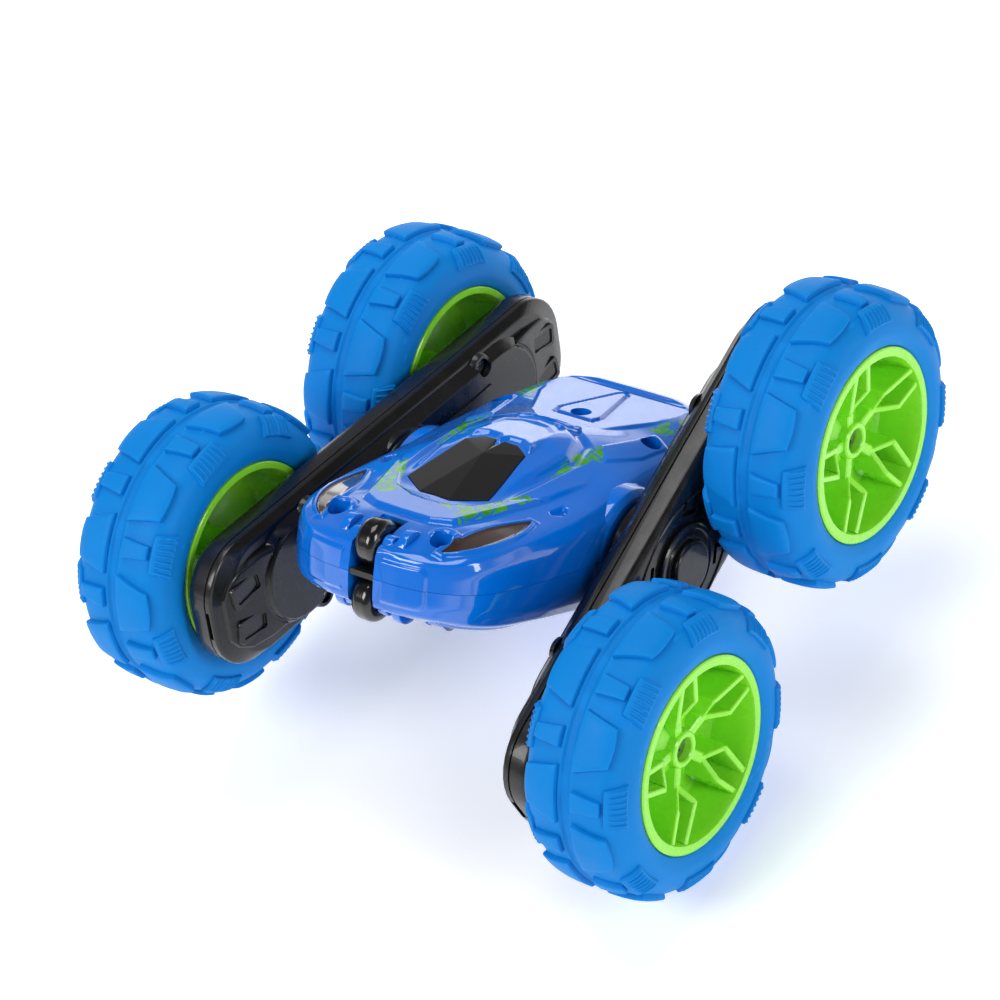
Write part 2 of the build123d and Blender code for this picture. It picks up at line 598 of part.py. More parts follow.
def gear_outline(teeth, module, phase):
    """Closed polygon of an involute gear in (y, z). A tooth centre points at the phase angle."""
    pitch_radius = module * teeth / 2
    base = pitch_radius * cos(PRESSURE_ANGLE)
    root = pitch_radius - 1.15 * module
    tip = pitch_radius + 0.85 * module
    half_at_pitch = pi / (2 * teeth) - BACKLASH / (2 * pitch_radius)
    radii = [root, max(base, root + 0.1), pitch_radius + 0.15 * module, tip]

    def half_angle(radius):
        spread = acos(min(1.0, base / radius)) if radius > base else 0.0
        return half_at_pitch + involute(PRESSURE_ANGLE) - involute(spread)

    points = []
    for tooth in range(teeth):
        middle = radians(phase) + 2 * pi * tooth / teeth
        flank = [(radius, half_angle(radius)) for radius in radii]
        for radius, angle in flank:
            points.append((radius * cos(middle - angle), radius * sin(middle - angle)))
        for radius, angle in reversed(flank):
            points.append((radius * cos(middle + angle), radius * sin(middle + angle)))
    return make_face(Polyline(*points, close=True))


def gear(teeth, module, span, y, phase):
    blank = extrude(across(span[0]) * gear_outline(teeth, module, phase), amount=span[1] - span[0])
    return Pos(0, y, 0) * blank


def mated(phase, teeth, direction, other_teeth):
    """Phase of a gear that meshes with one of known phase, lying in the given direction."""
    offset = (phase - direction) * teeth / 360 - 0.5
    return direction + 180 - 360 / other_teeth * offset


def train(end):
    """Compound wheel, idler and wheel gear of the front (-1) or the rear (+1) half."""
    direction = 0 if end > 0 else 180
    compound_phase = mated(0, MOTOR_TEETH, direction, LARGE_TEETH)
    idler_phase = mated(0, SMALL_TEETH, direction, IDLER_TEETH)
    wheel_phase = mated(idler_phase, IDLER_TEETH, direction, WHEEL_TEETH)
    compound = gear(LARGE_TEETH, FINE_MODULE, LOW_GEARS, end * COMPOUND_Y, compound_phase)
    small = gear(SMALL_TEETH, COARSE_MODULE, (LOW_GEARS[1], HIGH_GEARS[1]), end * COMPOUND_Y, 0)
    bore = along_x(GEAR_PIN_RADIUS + RUNNING_FIT, 40, 60, end * COMPOUND_Y)
    compound = compound + small - bore
    idler = gear(IDLER_TEETH, COARSE_MODULE, HIGH_GEARS, end * IDLER_Y, idler_phase)
    idler -= along_x(GEAR_PIN_RADIUS + RUNNING_FIT, 40, 60, end * IDLER_Y)
    wheel = gear(WHEEL_TEETH, COARSE_MODULE, HIGH_GEARS, end * WHEEL_SPACING, wheel_phase)
    wheel += axle(end * WHEEL_SPACING)
    return compound, idler, wheel


def axle(y):
    """Stepped shaft in one piece with the wheel gear, double flats in the rim's hub."""
    flats_from = TYRE_MID - 14.6
    end = TYRE_MID + AXLE_END
    shaft = along_x(AXLE_RADIUS, ARM_SHOULDER + 0.3, end, y)
    for side in (1, -1):
        cut = block((flats_from, end + 1), (y - 4, y + 4), sorted((side * AXLE_FLAT, side * 4)))
        shaft -= cut
    return shaft - along_x(WHEEL_SCREW_SHANK + SEAT_GAP, end - 7.0, end + 1, y)


def motor_pinion():
    """Pinion pressed on the motor's shaft."""
    pinion = gear(MOTOR_TEETH, FINE_MODULE, (44.6, LOW_GEARS[1]), 0, 0)
    return pinion + along_x(GEAR_PIN_RADIUS, MOTOR[1] - 5.8, LOW_GEARS[1] + 0.6)


def gear_pins():
    pins = []
    for y in (COMPOUND_Y, IDLER_Y):
        for side in (1, -1):
            pins.append(along_x(GEAR_PIN_RADIUS, ARM_SHOULDER - 0.5, 53.9, side * y))
    return Compound(pins)


# ---------------------------------------------------------------- wheels

def tyre():
    """Hollow tyre round the X axis: flat tread, round shoulders, beads on the rim."""
    edge = RIM_BEAD_RADIUS + SEAT_GAP
    flank = TYRE_HALF_WIDTH
    right = [
        Line((1.3, TYRE_RADIUS), (9.0, TYRE_RADIUS)),
        ThreePointArc((9.0, TYRE_RADIUS), (14.9, 40.2), (flank, 34.0)),
        ThreePointArc((flank, 34.0), (16.4, 30.6), (14.5, RIM_LIP_RADIUS + 0.1)),
        Line((14.5, RIM_LIP_RADIUS + 0.1), (14.5, edge)),
        Line((14.5, edge), (9.8, edge)),
        Line((9.8, edge), (12.6, 30.5)),
        ThreePointArc((12.6, 30.5), (13.6, 36.2), (8.0, 40.2)),
    ]
    edges = list(right)
    edges += [mirror(piece, about=Plane.YZ) for piece in right]
    edges.append(Line((8.0, 40.2), (-8.0, 40.2)))
    edges += [Line((1.3, TYRE_RADIUS), (1.3, 41.7)), Line((-1.3, TYRE_RADIUS), (-1.3, 41.7))]
    edges.append(Line((-1.3, 41.7), (1.3, 41.7)))
    return revolve(make_face(edges), axis=Axis.X)


def rim():
    """One-piece rim: open barrel, middle disc, five forked spokes and a hub."""
    lip = RIM_LIP_RADIUS
    bead = RIM_BEAD_RADIUS
    outline = [
        (14.6, lip), (RIM_LIP, lip), (RIM_LIP, 25.3), (8.0, 23.8), (1.0, 23.4), (1.0, 4.0),
        (-1.0, 4.0), (-1.0, 23.4), (-8.0, 23.8), (-RIM_LIP, 25.9), (-RIM_LIP, lip), (-14.6, lip),
        (-14.6, bead), (-9.6, bead), (-8.0, 25.2), (8.0, 25.2), (9.6, bead), (14.6, bead),
    ]
    wheel = spun(Polyline(*outline, close=True))
    spoke = across(0.5) * make_face(Polyline((4.0, 0.5), (12.5, 1.3), (23.6, 4.2), (23.6, 6.0),
                                             (12.0, 3.0), (4.0, 2.2), close=True))
    fin = extrude(spoke, amount=6.8)
    pair = fin + mirror(fin, about=Plane.XY)
    for index in range(SPOKES):
        wheel += Rot(90 + index * 360 / SPOKES, 0, 0) * pair
    wheel += along_x(RIM_HUB_RADIUS, -14.5, RIM_HUB_FACE)
    bore = along_x(AXLE_RADIUS + SEAT_GAP, -20, AXLE_END + 0.2)
    bore &= block((-30, 30), (-9, 9), (-AXLE_FLAT - SEAT_GAP, AXLE_FLAT + SEAT_GAP))
    wheel -= bore
    wheel -= along_x(WHEEL_SCREW_SHANK + 0.15, 0, 20)
    return wheel - along_x(WHEEL_SCREW_HEAD[0] + 0.5, SCREW_SEAT_X, 20)


def wheel_screw():
    radius, height = WHEEL_SCREW_HEAD
    screw = along_x(radius, SCREW_SEAT_X, SCREW_SEAT_X + height)
    screw += along_x(WHEEL_SCREW_SHANK, -3.4, SCREW_SEAT_X)
    for half in ((2.0, 0.4), (0.4, 2.0)):
        screw -= block((6.7, 9), (-half[0], half[0]), (-half[1], half[1]))
    return screw


def build_arms():
    shells = {"arm_inner_shell": inner_shell(), "arm_outer_shell": outer_shell()}
    shells["hub_cap"] = hub_cap()
    shells["motor"] = motor()
    shells["motor_pinion"] = motor_pinion()
    shells["gear_pins"] = gear_pins()
    shells["arm_screws"] = Compound([arm_screw(y, z) for y, z in arm_screw_spots()])
    for name, end in (("front", -1), ("rear", 1)):
        compound, idler, wheel = train(end)
        shells["reduction_gear_" + name] = compound
        shells["idler_gear_" + name] = idler
        shells["drive_axle_" + name] = wheel
    for side in ("left", "right"):
        for name, shape in shells.items():
            save(arm_place(shape, side), name + "_" + side)


def build_wheels():
    pieces = {"tyre": tyre(), "rim": rim(), "wheel_screw": wheel_screw()}
    for name, shape in pieces.items():
        for end, y in (("front", -WHEEL_SPACING), ("rear", WHEEL_SPACING)):
            for side in ("left", "right"):
                placed = Pos(TYRE_MID, y, 0) * shape
                save(arm_place(placed, side), name + "_" + end + "_" + side)


os.makedirs("parts", exist_ok=True)
build_body()
build_arms()
build_wheels()
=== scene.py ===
import json
import math
import bmesh
import bpy
import numpy as np
from mathutils import Matrix, Vector


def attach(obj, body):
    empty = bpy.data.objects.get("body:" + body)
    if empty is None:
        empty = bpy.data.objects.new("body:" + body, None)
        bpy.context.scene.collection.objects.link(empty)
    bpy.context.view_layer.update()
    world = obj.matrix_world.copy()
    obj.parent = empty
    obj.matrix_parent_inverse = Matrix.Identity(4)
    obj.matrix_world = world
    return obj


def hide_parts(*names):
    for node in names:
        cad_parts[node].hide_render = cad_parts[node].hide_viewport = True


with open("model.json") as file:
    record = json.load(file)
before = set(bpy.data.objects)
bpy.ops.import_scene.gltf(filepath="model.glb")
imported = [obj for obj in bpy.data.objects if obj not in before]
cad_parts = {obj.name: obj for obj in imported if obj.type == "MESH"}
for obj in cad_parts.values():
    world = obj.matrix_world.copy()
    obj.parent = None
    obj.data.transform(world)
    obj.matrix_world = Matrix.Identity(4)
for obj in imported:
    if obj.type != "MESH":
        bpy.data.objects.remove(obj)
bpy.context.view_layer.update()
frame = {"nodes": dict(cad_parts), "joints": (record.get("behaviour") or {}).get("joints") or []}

# Pieces are modelled in millimetres in the frame of the thing they belong to: the level body, the
# level left arm or an upright wheel. X points outwards on an arm or a wheel. They are put in metres
# at the places that the frame's joints give.
MM = 0.001
SIDES = ("left", "right")
ENDS = ("front", "rear")
JOINTS = {joint["name"]: joint for joint in frame["joints"]}
PIVOT = Vector((0, 0, JOINTS["arm_left_swing"]["pos_m"][2]))
WHEEL_SPACING = (Vector(JOINTS["wheel_rear_left_spin"]["pos_m"]) - PIVOT).yz.length / MM


# ---------------- places

def turned_about_x(direction):
    return Matrix.Rotation(math.atan2(direction[2], direction[1]), 4, "X")


def outward(side):
    """Half a turn about Z for what faces the car's right."""
    return Matrix.Rotation(0.0 if side == "left" else math.pi, 4, "Z")


def body_place():
    return Matrix.Translation(PIVOT) @ turned_about_x(JOINTS["power_switch_slide"]["axis"])


def arm_turn(side):
    rear = Vector(JOINTS["wheel_rear_" + side + "_spin"]["pos_m"]) - PIVOT
    return turned_about_x(rear) @ outward(side)


def arm_place(side):
    return Matrix.Translation(PIVOT) @ arm_turn(side)


def wheel_place(end, side, degrees):
    """Place of a wheel turned on its axle by so many degrees."""
    centre = Vector(JOINTS["wheel_" + end + "_" + side + "_spin"]["pos_m"])
    return Matrix.Translation(centre) @ arm_turn(side) @ Matrix.Rotation(math.radians(degrees), 4, "X")


# ---------------- mesh tools

def smooth_path(points, steps):
    """Points along a Catmull-Rom curve through the given ones."""
    p = np.array(points, float)
    p = np.vstack([2 * p[0] - p[1], p, 2 * p[-1] - p[-2]])
    out = []
    for i in range(1, len(p) - 2):
        for t in np.arange(steps) / steps:
            a, b, c, d = p[i - 1:i + 3]
            out.append(0.5 * (2 * b + (c - a) * t + (2 * a - 5 * b + 4 * c - d) * t * t
                              + (3 * b - a - 3 * c + d) * t ** 3))
    out.append(p[-2])
    return np.array(out)


def grid_faces(rows, cols, wrap_rows=False, wrap_cols=False, first=0):
    faces = []
    for i in range(rows if wrap_rows else rows - 1):
        for j in range(cols if wrap_cols else cols - 1):
            k, n = (i + 1) % rows, (j + 1) % cols
            faces.append([first + i * cols + j, first + i * cols + n,
                          first + k * cols + n, first + k * cols + j])
    return faces


def solid(points, faces):
    """Mesh of a closed surface with its normals outwards."""
    mesh = bpy.data.meshes.new("solid")
    mesh.from_pydata([tuple(float(v) for v in p) for p in points], [], faces)
    work = bmesh.new()
    work.from_mesh(mesh)
    bmesh.ops.remove_doubles(work, verts=work.verts, dist=1e-5)
    bmesh.ops.recalc_face_normals(work, faces=work.faces)
    work.to_mesh(mesh)
    work.free()
    return mesh


def reach_along(points):
    """Distance of each point from the first one, along the line through them."""
    return np.concatenate([[0], np.cumsum(np.linalg.norm(np.diff(points, axis=0), axis=1))])


def two_sheets(rows, cols):
    """Faces of two grids of points, the second one turned over."""
    return grid_faces(rows, cols) + [f[::-1] for f in grid_faces(rows, cols, first=rows * cols)]


def loft(rings):
    """Closed solid through rings of equally many points, with flat ends."""
    count = len(rings[0])
    faces = grid_faces(len(rings), count, wrap_cols=True)
    faces.append(list(range(count)))
    faces.append(list(range((len(rings) - 1) * count, len(rings) * count)))
    return solid([p for ring in rings for p in ring], faces)


def turned(profile, steps=72, at=(0.0, 0.0), closed=True):
    """Solid turned round an axis along X. The profile is (x, radius); an open one gets flat ends."""
    points = []
    for k in range(steps):
        angle = 2 * math.pi * k / steps
        for x, r in profile:
            points.append((x, at[0] + r * math.cos(angle), at[1] + r * math.sin(angle)))
    count = len(profile)
    faces = grid_faces(steps, count, wrap_rows=True, wrap_cols=closed)
    if not closed:
        faces.append([k * count for k in range(steps)])
        faces.append([k * count + count - 1 for k in range(steps)])
    return solid(points, faces)


def rounded_ring(half_y, half_z, corner, arc=8):
    """Rounded rectangle in (y, z)."""
    corner = max(min(corner, half_y, half_z), 0.05)
    out = []
    for quarter, (sy, sz) in enumerate(((1, 1), (-1, 1), (-1, -1), (1, -1))):
        for k in range(arc + 1):
            angle = math.radians(90 * quarter + 90 * k / arc)
            out.append((sy * (half_y - corner) + corner * math.cos(angle),
                        sz * (half_z - corner) + corner * math.sin(angle)))
    return out


def layers(size, corner, levels):
    """Rounded rectangles across X, one for each (x, inset of the ends, inset of the sides)."""
    out = []
    for x, ends, sides in levels:
        ring = rounded_ring(size[0] / 2 - ends, size[1] / 2 - sides, corner - sides)
        out.append([(x, y, z) for y, z in ring])
    return out


def pad(size, corner, x_from, x_to, edge=0.6, at=(0.0, 0.0), turn=0.0, slope=0.0):
    """Rounded block lying across X, its end at x_to with a rounded edge. Slope widens its foot."""
    levels = [(x_from, -slope, -slope)]
    for k in range(5):
        angle = math.radians(90 * k / 4)
        inset = edge * (1 - math.cos(angle))
        levels.append((x_to - math.copysign(edge, x_to - x_from) * (1 - math.sin(angle)), inset, inset))
    cos_t, sin_t = math.cos(math.radians(turn)), math.sin(math.radians(turn))
    return loft([[(x, at[0] + y * cos_t - z * sin_t, at[1] + y * sin_t + z * cos_t) for x, y, z in ring]
                 for ring in layers(size, corner, levels)])


def swept(path, width, sections):
    """Loft along a polyline in (y, z). A section is a list of (share of the half width, x)."""
    along = np.gradient(path, axis=0)
    along /= np.linalg.norm(along, axis=1)[:, None]
    across = np.stack([-along[:, 1], along[:, 0]], 1)
    rings = []
    for spot, side, section in zip(path, across, sections):
        ring = []
        for share, x in section:
            y, z = spot + side * share * width / 2
            ring.append((x, y, z))
        rings.append(ring)
    return loft(rings)


def bar(points, width, x_from, x_to, edge=0.3):
    """Raised or cut line along a polyline in (y, z), with rounded edges."""
    near = x_to - math.copysign(edge, x_to - x_from)
    section = [(-1, x_from), (-1, near), (-0.6, x_to), (0.6, x_to), (1, near), (1, x_from)]
    return swept(np.array(points, float), width, [section] * len(points))


def placed(name, data):
    """New object in the scene."""
    obj = bpy.data.objects.new(name, data)
    bpy.context.scene.collection.objects.link(obj)
    return obj


def combined(base, tools, operation):
    """The base mesh with each tool joined to it (UNION) or cut from it (DIFFERENCE)."""
    for tool in tools:
        pair = [placed("work", mesh) for mesh in (base, tool)]
        step = pair[0].modifiers.new("step", "BOOLEAN")
        step.object = pair[1]
        step.operation = operation
        step.solver = "MANIFOLD"
        graph = bpy.context.evaluated_depsgraph_get()
        result = bpy.data.meshes.new_from_object(pair[0].evaluated_get(graph))
        for obj in pair:
            bpy.data.objects.remove(obj)
        base = result
    return base


def mirrored(mesh, axis):
    """Copy of a mesh reflected across the plane at zero on that axis."""
    copy = mesh.copy()
    copy.transform(Matrix.Diagonal([-1.0 if name == axis else 1.0 for name in "XYZW"]))
    copy.flip_normals()
    return copy


def both_ways(mesh, axis):
    return [mesh, mirrored(mesh, axis)]


def with_mirror(half):
    """Closed outline of a left half and its mirror image. A point on the middle isn't repeated."""
    return half + [(-x, *rest) for x, *rest in reversed(half) if x]


def joined(meshes):
    """Several meshes in one, without merging them."""
    work = bmesh.new()
    for mesh in meshes:
        work.from_mesh(mesh)
    out = bpy.data.meshes.new("joined")
    work.to_mesh(out)
    work.free()
    return out


def ready(mesh, crease=38.0):
    """The finished mesh, smooth except at its creases."""
    mesh.validate()
    mesh.shade_smooth()
    mesh.set_sharp_from_angle(angle=math.radians(crease))
    mesh.update()
    return mesh


def piece(name, mesh, place, body, slot, node, even=True):
    """Puts a copy of a finished mesh on its body, in place of the CAD node it stands for. The turn
    is worked into the mesh, so the object is only moved and its box lies along the axes."""
    mesh = mesh.copy()
    mesh.transform(place.to_3x3().to_4x4() @ Matrix.Scale(MM, 4))
    obj = placed(name, mesh)
    obj.matrix_world = Matrix.Translation(place.translation)
    mesh.materials.clear()
    mesh.materials.append(MATERIALS[slot])
    if even:
        obj.modifiers.new("even_normals", "WEIGHTED_NORMAL").keep_sharp = True
    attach(obj, body)
    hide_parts(node)


# ---------------- materials

def linear(red, green, blue):
    """Linear colour from a 0 to 255 screen colour."""
    out = []
    for value in (red, green, blue):
        c = value / 255
        out.append(c / 12.92 if c <= 0.04045 else ((c + 0.055) / 1.055) ** 2.4)
    return (*out, 1.0)


def scaled(colour, factor):
    return (*[c * factor for c in colour[:3]], 1.0)


class Paint:
    """Node material on the Principled shader, with small helpers to make and wire its nodes."""

    def __init__(self, name, **values):
        self.material = bpy.data.materials.new(name)
        self.material.use_nodes = True
        self.tree = self.material.node_tree
        self.shader = self.tree.nodes["Principled BSDF"]
        self.place = self.node("TexCoord").outputs["Object"]
        self.wire(**values)

    def feed(self, socket, value):
        """Sets an input, or links it to the output that is given for it."""
        if isinstance(value, bpy.types.NodeSocket):
            self.tree.links.new(value, socket)
        else:
            socket.default_value = value

    def wire(self, **values):
        """Feeds the shader's inputs, named with _ for a space."""
        for key, value in values.items():
            self.feed(self.shader.inputs[key.replace("_", " ")], value)

    def node(self, kind, inputs=(), **values):
        made = self.tree.nodes.new("ShaderNode" + kind)
        for key, value in values.items():
            setattr(made, key, value)
        for key, value in dict(inputs).items():
            self.feed(made.inputs[key], value)
        return made

    def noise(self, scale, detail=3.0):
        inputs = {"Scale": scale, "Detail": detail, "Roughness": 0.5, "Vector": self.place}
        return self.node("TexNoise", inputs).outputs["Fac"]

    def ranged(self, value, low=0.0, high=1.0, from_low=0.3, from_high=0.7):
        inputs = {"From Min": from_low, "From Max": from_high, "To Min": low, "To Max": high, "Value": value}
        return self.node("MapRange", inputs).outputs["Result"]

    def mix(self, factor, first, second):
        return self.node("Mix", {"Factor": factor, 6: first, 7: second}, data_type="RGBA").outputs[2]

    def times(self, first, second):
        return self.node("Math", {0: first, 1: second}, operation="MULTIPLY").outputs[0]

    def pointiness(self):
        """Over 0.5 on outer edges and under it in hollows."""
        return self.node("NewGeometry").outputs["Pointiness"]

    def bump(self, height, strength, distance):
        inputs = {"Strength": strength, "Distance": distance, "Height": height}
        return self.node("Bump", inputs).outputs["Normal"]


# The edge factor makes outer edges paler as a painted highlight; the hollow factor makes hollows darker as
# painted shade.
def moulded(name, colour, rough, grain=900.0, relief=0.05, shade=0.82, edge=1.12, hollow_shade=0.8, **values):
    """Moulded plastic: mottled colour, painted highlight on outer edges, painted shade in hollows, uneven
    gloss, fine grain.
    """
    paint = Paint(name, **values)
    base = linear(*colour)
    # Paler copy of the base colour for outer edges: a painted highlight.
    edge_highlight = (*[min(c * edge + 0.01 * (edge - 1), 1.0) for c in base[:3]], 1.0)
    tone = paint.mix(paint.ranged(paint.noise(45.0, 4.0), 0.0, 1.0, 0.35, 0.75), base, scaled(base, shade))
    # Painted highlight: outer edges (high pointiness) take the paler colour.
    tone = paint.mix(paint.ranged(paint.pointiness(), 0.0, 1.0, 0.53, 0.62), tone, edge_highlight)
    # Painted shade: hollows (low pointiness) take the base colour darkened by the hollow factor.
    tone = paint.mix(paint.ranged(paint.pointiness(), 1.0, 0.0, 0.40, 0.49), tone, scaled(base, hollow_shade))
    paint.wire(Base_Color=tone, Roughness=paint.ranged(paint.noise(160.0, 5.0), *rough),
               Normal=paint.bump(paint.noise(grain, 2.0), relief, 0.0002))
    return paint


def metal(name, colour, rough, stretch=(1.0, 1.0, 12.0)):
    """Turned or rolled metal with fine marks along it."""
    paint = Paint(name, Metallic=1.0)
    drawn = paint.node("Mapping", {"Scale": stretch, "Vector": paint.place}).outputs["Vector"]
    marks = paint.node("TexNoise", {"Scale": 700.0, "Vector": drawn}).outputs["Fac"]
    base = linear(*colour)
    paint.wire(Base_Color=paint.mix(paint.ranged(marks), base, scaled(base, 0.7)),
               Roughness=paint.ranged(marks, *rough), Normal=paint.bump(marks, 0.08, 0.0001))
    return paint


def body_paint():
    """Gloss blue with printed green crackle where the mesh's decal attribute says."""
    paint = moulded("body_blue", (0, 110, 218), (0.12, 0.22), relief=0.02, shade=0.9, edge=1.15,
                    Specular_IOR_Level=0.2, Coat_Weight=1.0, Coat_Roughness=0.05, Coat_IOR=1.6)
    plain = paint.shader.inputs["Base Color"].links[0].from_socket
    mask = paint.node("Attribute", attribute_name="decal").outputs["Fac"]
    bend = {"Rotation": (0.0, 0.0, math.radians(35)), "Scale": (1.0, 0.62, 0.4), "Vector": paint.place}
    cells = {"Scale": 330.0, "Vector": paint.node("Mapping", bend).outputs["Vector"]}
    crackle = paint.node("TexVoronoi", cells, feature="DISTANCE_TO_EDGE").outputs["Distance"]
    inked = paint.ranged(crackle, 0.0, 1.0, 0.05, 0.08)
    printed = paint.times(inked, paint.ranged(mask, 0.0, 1.0, 0.45, 0.55))
    green = paint.mix(paint.ranged(paint.noise(300.0)), linear(36, 138, 26), linear(78, 172, 44))
    paint.wire(Base_Color=paint.mix(printed, plain, green))
    return paint


def smoked(name, colour, **values):
    return moulded(name, colour, (0.04, 0.1), relief=0.01, shade=0.7, Specular_IOR_Level=0.3,
                   Coat_Weight=1.0, Coat_Roughness=0.02, **values)


# Each paint's edge and hollow factors set its painted highlight on outer edges and its painted shade in
# hollows.
PAINTS = [
    body_paint(),
    smoked("glass_black", (16, 16, 18)),
    smoked("lens_smoke", (74, 52, 44), Transmission_Weight=0.25),
    moulded("led_clear", (236, 240, 244), (0.05, 0.15), shade=0.9, Transmission_Weight=0.5),
    metal("steel", (196, 198, 200), (0.18, 0.38)),
    metal("brass", (214, 176, 96), (0.2, 0.4)),
    metal("motor_steel", (170, 172, 174), (0.25, 0.45), (12.0, 1.0, 1.0)),
    moulded("trim_black", (15, 15, 16), (0.12, 0.26), relief=0.03, edge=1.8, Coat_Weight=0.6),
    moulded("arm_black", (15, 15, 16), (0.2, 0.36), edge=2.2, Coat_Weight=0.3, Specular_IOR_Level=0.35),
    moulded("tyre_blue", (0, 130, 214), (0.5, 0.62), grain=1500.0, relief=0.12, shade=0.93, edge=1.2,
            hollow_shade=0.75, Specular_IOR_Level=0.15),
    moulded("rim_green", (146, 236, 52), (0.2, 0.34), relief=0.04, shade=0.94, edge=1.15, hollow_shade=0.75,
            Coat_Weight=0.35),
    moulded("gear_white", (232, 232, 224), (0.35, 0.5), shade=0.92),
    moulded("battery_wrap", (32, 70, 150), (0.2, 0.35), grain=300.0, relief=0.15),
    moulded("board_green", (18, 92, 52), (0.3, 0.5), grain=500.0, relief=0.2),
    moulded("switch_black", (20, 20, 21), (0.3, 0.45), edge=1.8),
]
MATERIALS = {paint.material.name.split(".")[0]: paint.material for paint in PAINTS}


def paint_frame():
    """Every CAD node takes the procedural material of its slot."""
    for obj in frame["nodes"].values():
        slot = obj.data.materials[0].name.split(".")[0]
        obj.data.materials[0] = MATERIALS[slot]


# ---------------- tyres

TREAD_REPEATS = 8
TREAD_HEIGHT = 1.55
TREAD_ROOT = -0.9                        # how deep a block reaches into the carcass
CARCASS = [(0, 41.4), (4, 41.4), (8.5, 41.1), (12.0, 40.1), (14.6, 37.7), (16.0, 34.8), (16.55, 32.2),
           (16.2, 30.0), (15.6, 28.6), (14.6, 28.15)]
TYRE_INSIDE = [(14.6, 27.6), (9.8, 27.6), (12.4, 30.6), (13.2, 36.0), (8.0, 39.4)]
GROOVE = (1.3, 0.55)                     # half width and depth of the middle groove
CURVE = smooth_path(CARCASS, 12)
REACH = reach_along(CURVE)


def on_tyre(reach, degrees, lift):
    """Point over the carcass: distance from the middle along the profile, angle, height."""
    side = 1.0 if reach >= 0 else -1.0
    spots = [np.interp(abs(reach) + d, REACH, CURVE[:, k]) for d in (-0.2, 0.0, 0.2) for k in (0, 1)]
    x, r = spots[2], spots[3]
    dx, dr = spots[4] - spots[0], spots[5] - spots[1]
    if abs(reach) < 0.3:
        dx, dr = 1.0, 0.0
    size = math.hypot(dx, dr)
    x, r = x - dr / size * lift, r + dx / size * lift
    angle = math.radians(degrees)
    return (side * x, r * math.cos(angle), r * math.sin(angle))


def carcass():
    """Hollow tyre turned round its axis, with the middle groove and the fine lines beside it."""
    half, depth = GROOVE
    outer = []
    for x, r in CURVE:
        dip = depth * min(1.0, max(0.0, (half + 0.25 - x) / 0.35))
        line = 0.16 * math.exp(-((x - half - 0.75) / 0.22) ** 2)
        outer.append((x, r - dip + line))
    return turned(with_mirror(outer + TYRE_INSIDE), steps=256)


def tread_block(corners, cells, bulge=0.0, ribs=0, height=TREAD_HEIGHT):
    """Raised block over the carcass. Corners are (reach, degrees) of its inner start, inner end,
    outer end and outer start. Its sides slope a little and its top edge is rounded."""
    inner_start, inner_end, outer_end, outer_start = [np.array(c, float) for c in corners]
    radius = 41.0
    long_side = radius * math.radians(abs(inner_end[1] - inner_start[1]) + 1e-6)
    deep_side = abs(outer_start[0] - inner_start[0])
    steps = [(0.3, TREAD_ROOT), (0.12, height - 0.5), (-0.02, height - 0.16), (-0.3, height)]

    def line(length, count):
        rim = [(-out / length, level) for out, level in steps]
        middle = [(t, height) for t in np.linspace(0.3 / length, 1 - 0.3 / length, count)[1:-1]]
        return rim + middle + [(1 - share, level) for share, level in reversed(rim)]

    across, along = line(deep_side, cells[0]), line(long_side, cells[1])
    top, base = [], []
    for u, level_u in across:
        for v, level_v in along:
            start = inner_start * (1 - u) + outer_start * u
            end = inner_end * (1 - u) + outer_end * u
            reach, degrees = start * (1 - v) + end * v
            reach += math.copysign(bulge * 4 * v * (1 - v) * max(u, 0.0), reach)
            level = min(level_u, level_v)
            if ribs and level == height and 0.2 < u < 0.9:
                level += 0.5 * max(0.0, math.cos(2 * math.pi * (ribs * v - 0.5 * ribs))) - 0.25
            top.append(on_tyre(reach, degrees, level))
            base.append(on_tyre(reach, degrees, TREAD_ROOT))
    return solid(top + base, two_sheets(len(across), len(along)))


def tyre_mesh():
    step = 360 / TREAD_REPEATS
    blocks = []
    for index in range(TREAD_REPEATS):
        for side, shift in ((1, 0.0), (-1, 0.5)):
            start = (index + shift) * step

            def at(reach, degrees):
                return (side * reach, start + degrees)

            big = [at(2.5, 0), at(2.5, 23.3), at(12.0, 18.6), at(12.0, 3.2)]
            small = [at(2.9, -14.2), at(2.9, -6.6), at(11.0, -7.4), at(11.0, -12.6)]
            shoulder = [at(12.1, -17.6), at(12.1, -2.6), at(18.3, -0.2), at(18.3, -20.0)]
            blocks.append(tread_block(big, (8, 12), bulge=0.6))
            blocks.append(tread_block(small, (7, 6)))
            blocks.append(tread_block(shoulder, (14, 70), ribs=7, height=1.05))
    return ready(combined(carcass(), [joined(blocks)], "UNION"), 44.0)


# ---------------- rims

SPOKES = 5
RIM_DEGREES = 1.3                        # turn on the axle, as in the photo
RIM_PROFILE = [
    (-14.5, 2.55), (3.25, 2.55), (3.25, 1.4), (5.8, 1.4), (5.8, 3.45), (9.8, 3.45), (10.2, 3.8),
    (10.2, 4.9), (9.8, 5.3), (7.5, 5.6), (7.2, 6.4), (6.2, 8.5), (4.2, 14.0), (2.3, 20.0), (2.4, 22.2),
    (3.4, 23.3), (6.0, 23.9), (12.0, 24.8), (15.4, 25.2), (15.9, 25.4), (16.0, 25.8), (16.0, 27.7),
    (15.7, 28.1), (14.6, 28.1), (14.6, 27.5), (9.6, 27.5), (8.0, 25.3), (-8.0, 25.3), (-9.6, 27.5),
    (-14.6, 27.5), (-14.6, 28.1), (-15.7, 28.1), (-16.0, 27.8), (-16.0, 26.2), (-15.7, 25.9),
    (-8.0, 23.8), (-3.0, 23.2), (-0.6, 21.5), (0.4, 18.0), (2.2, 13.0), (4.0, 8.5), (4.2, 6.2),
    (3.4, 5.3), (-14.5, 5.3),
]
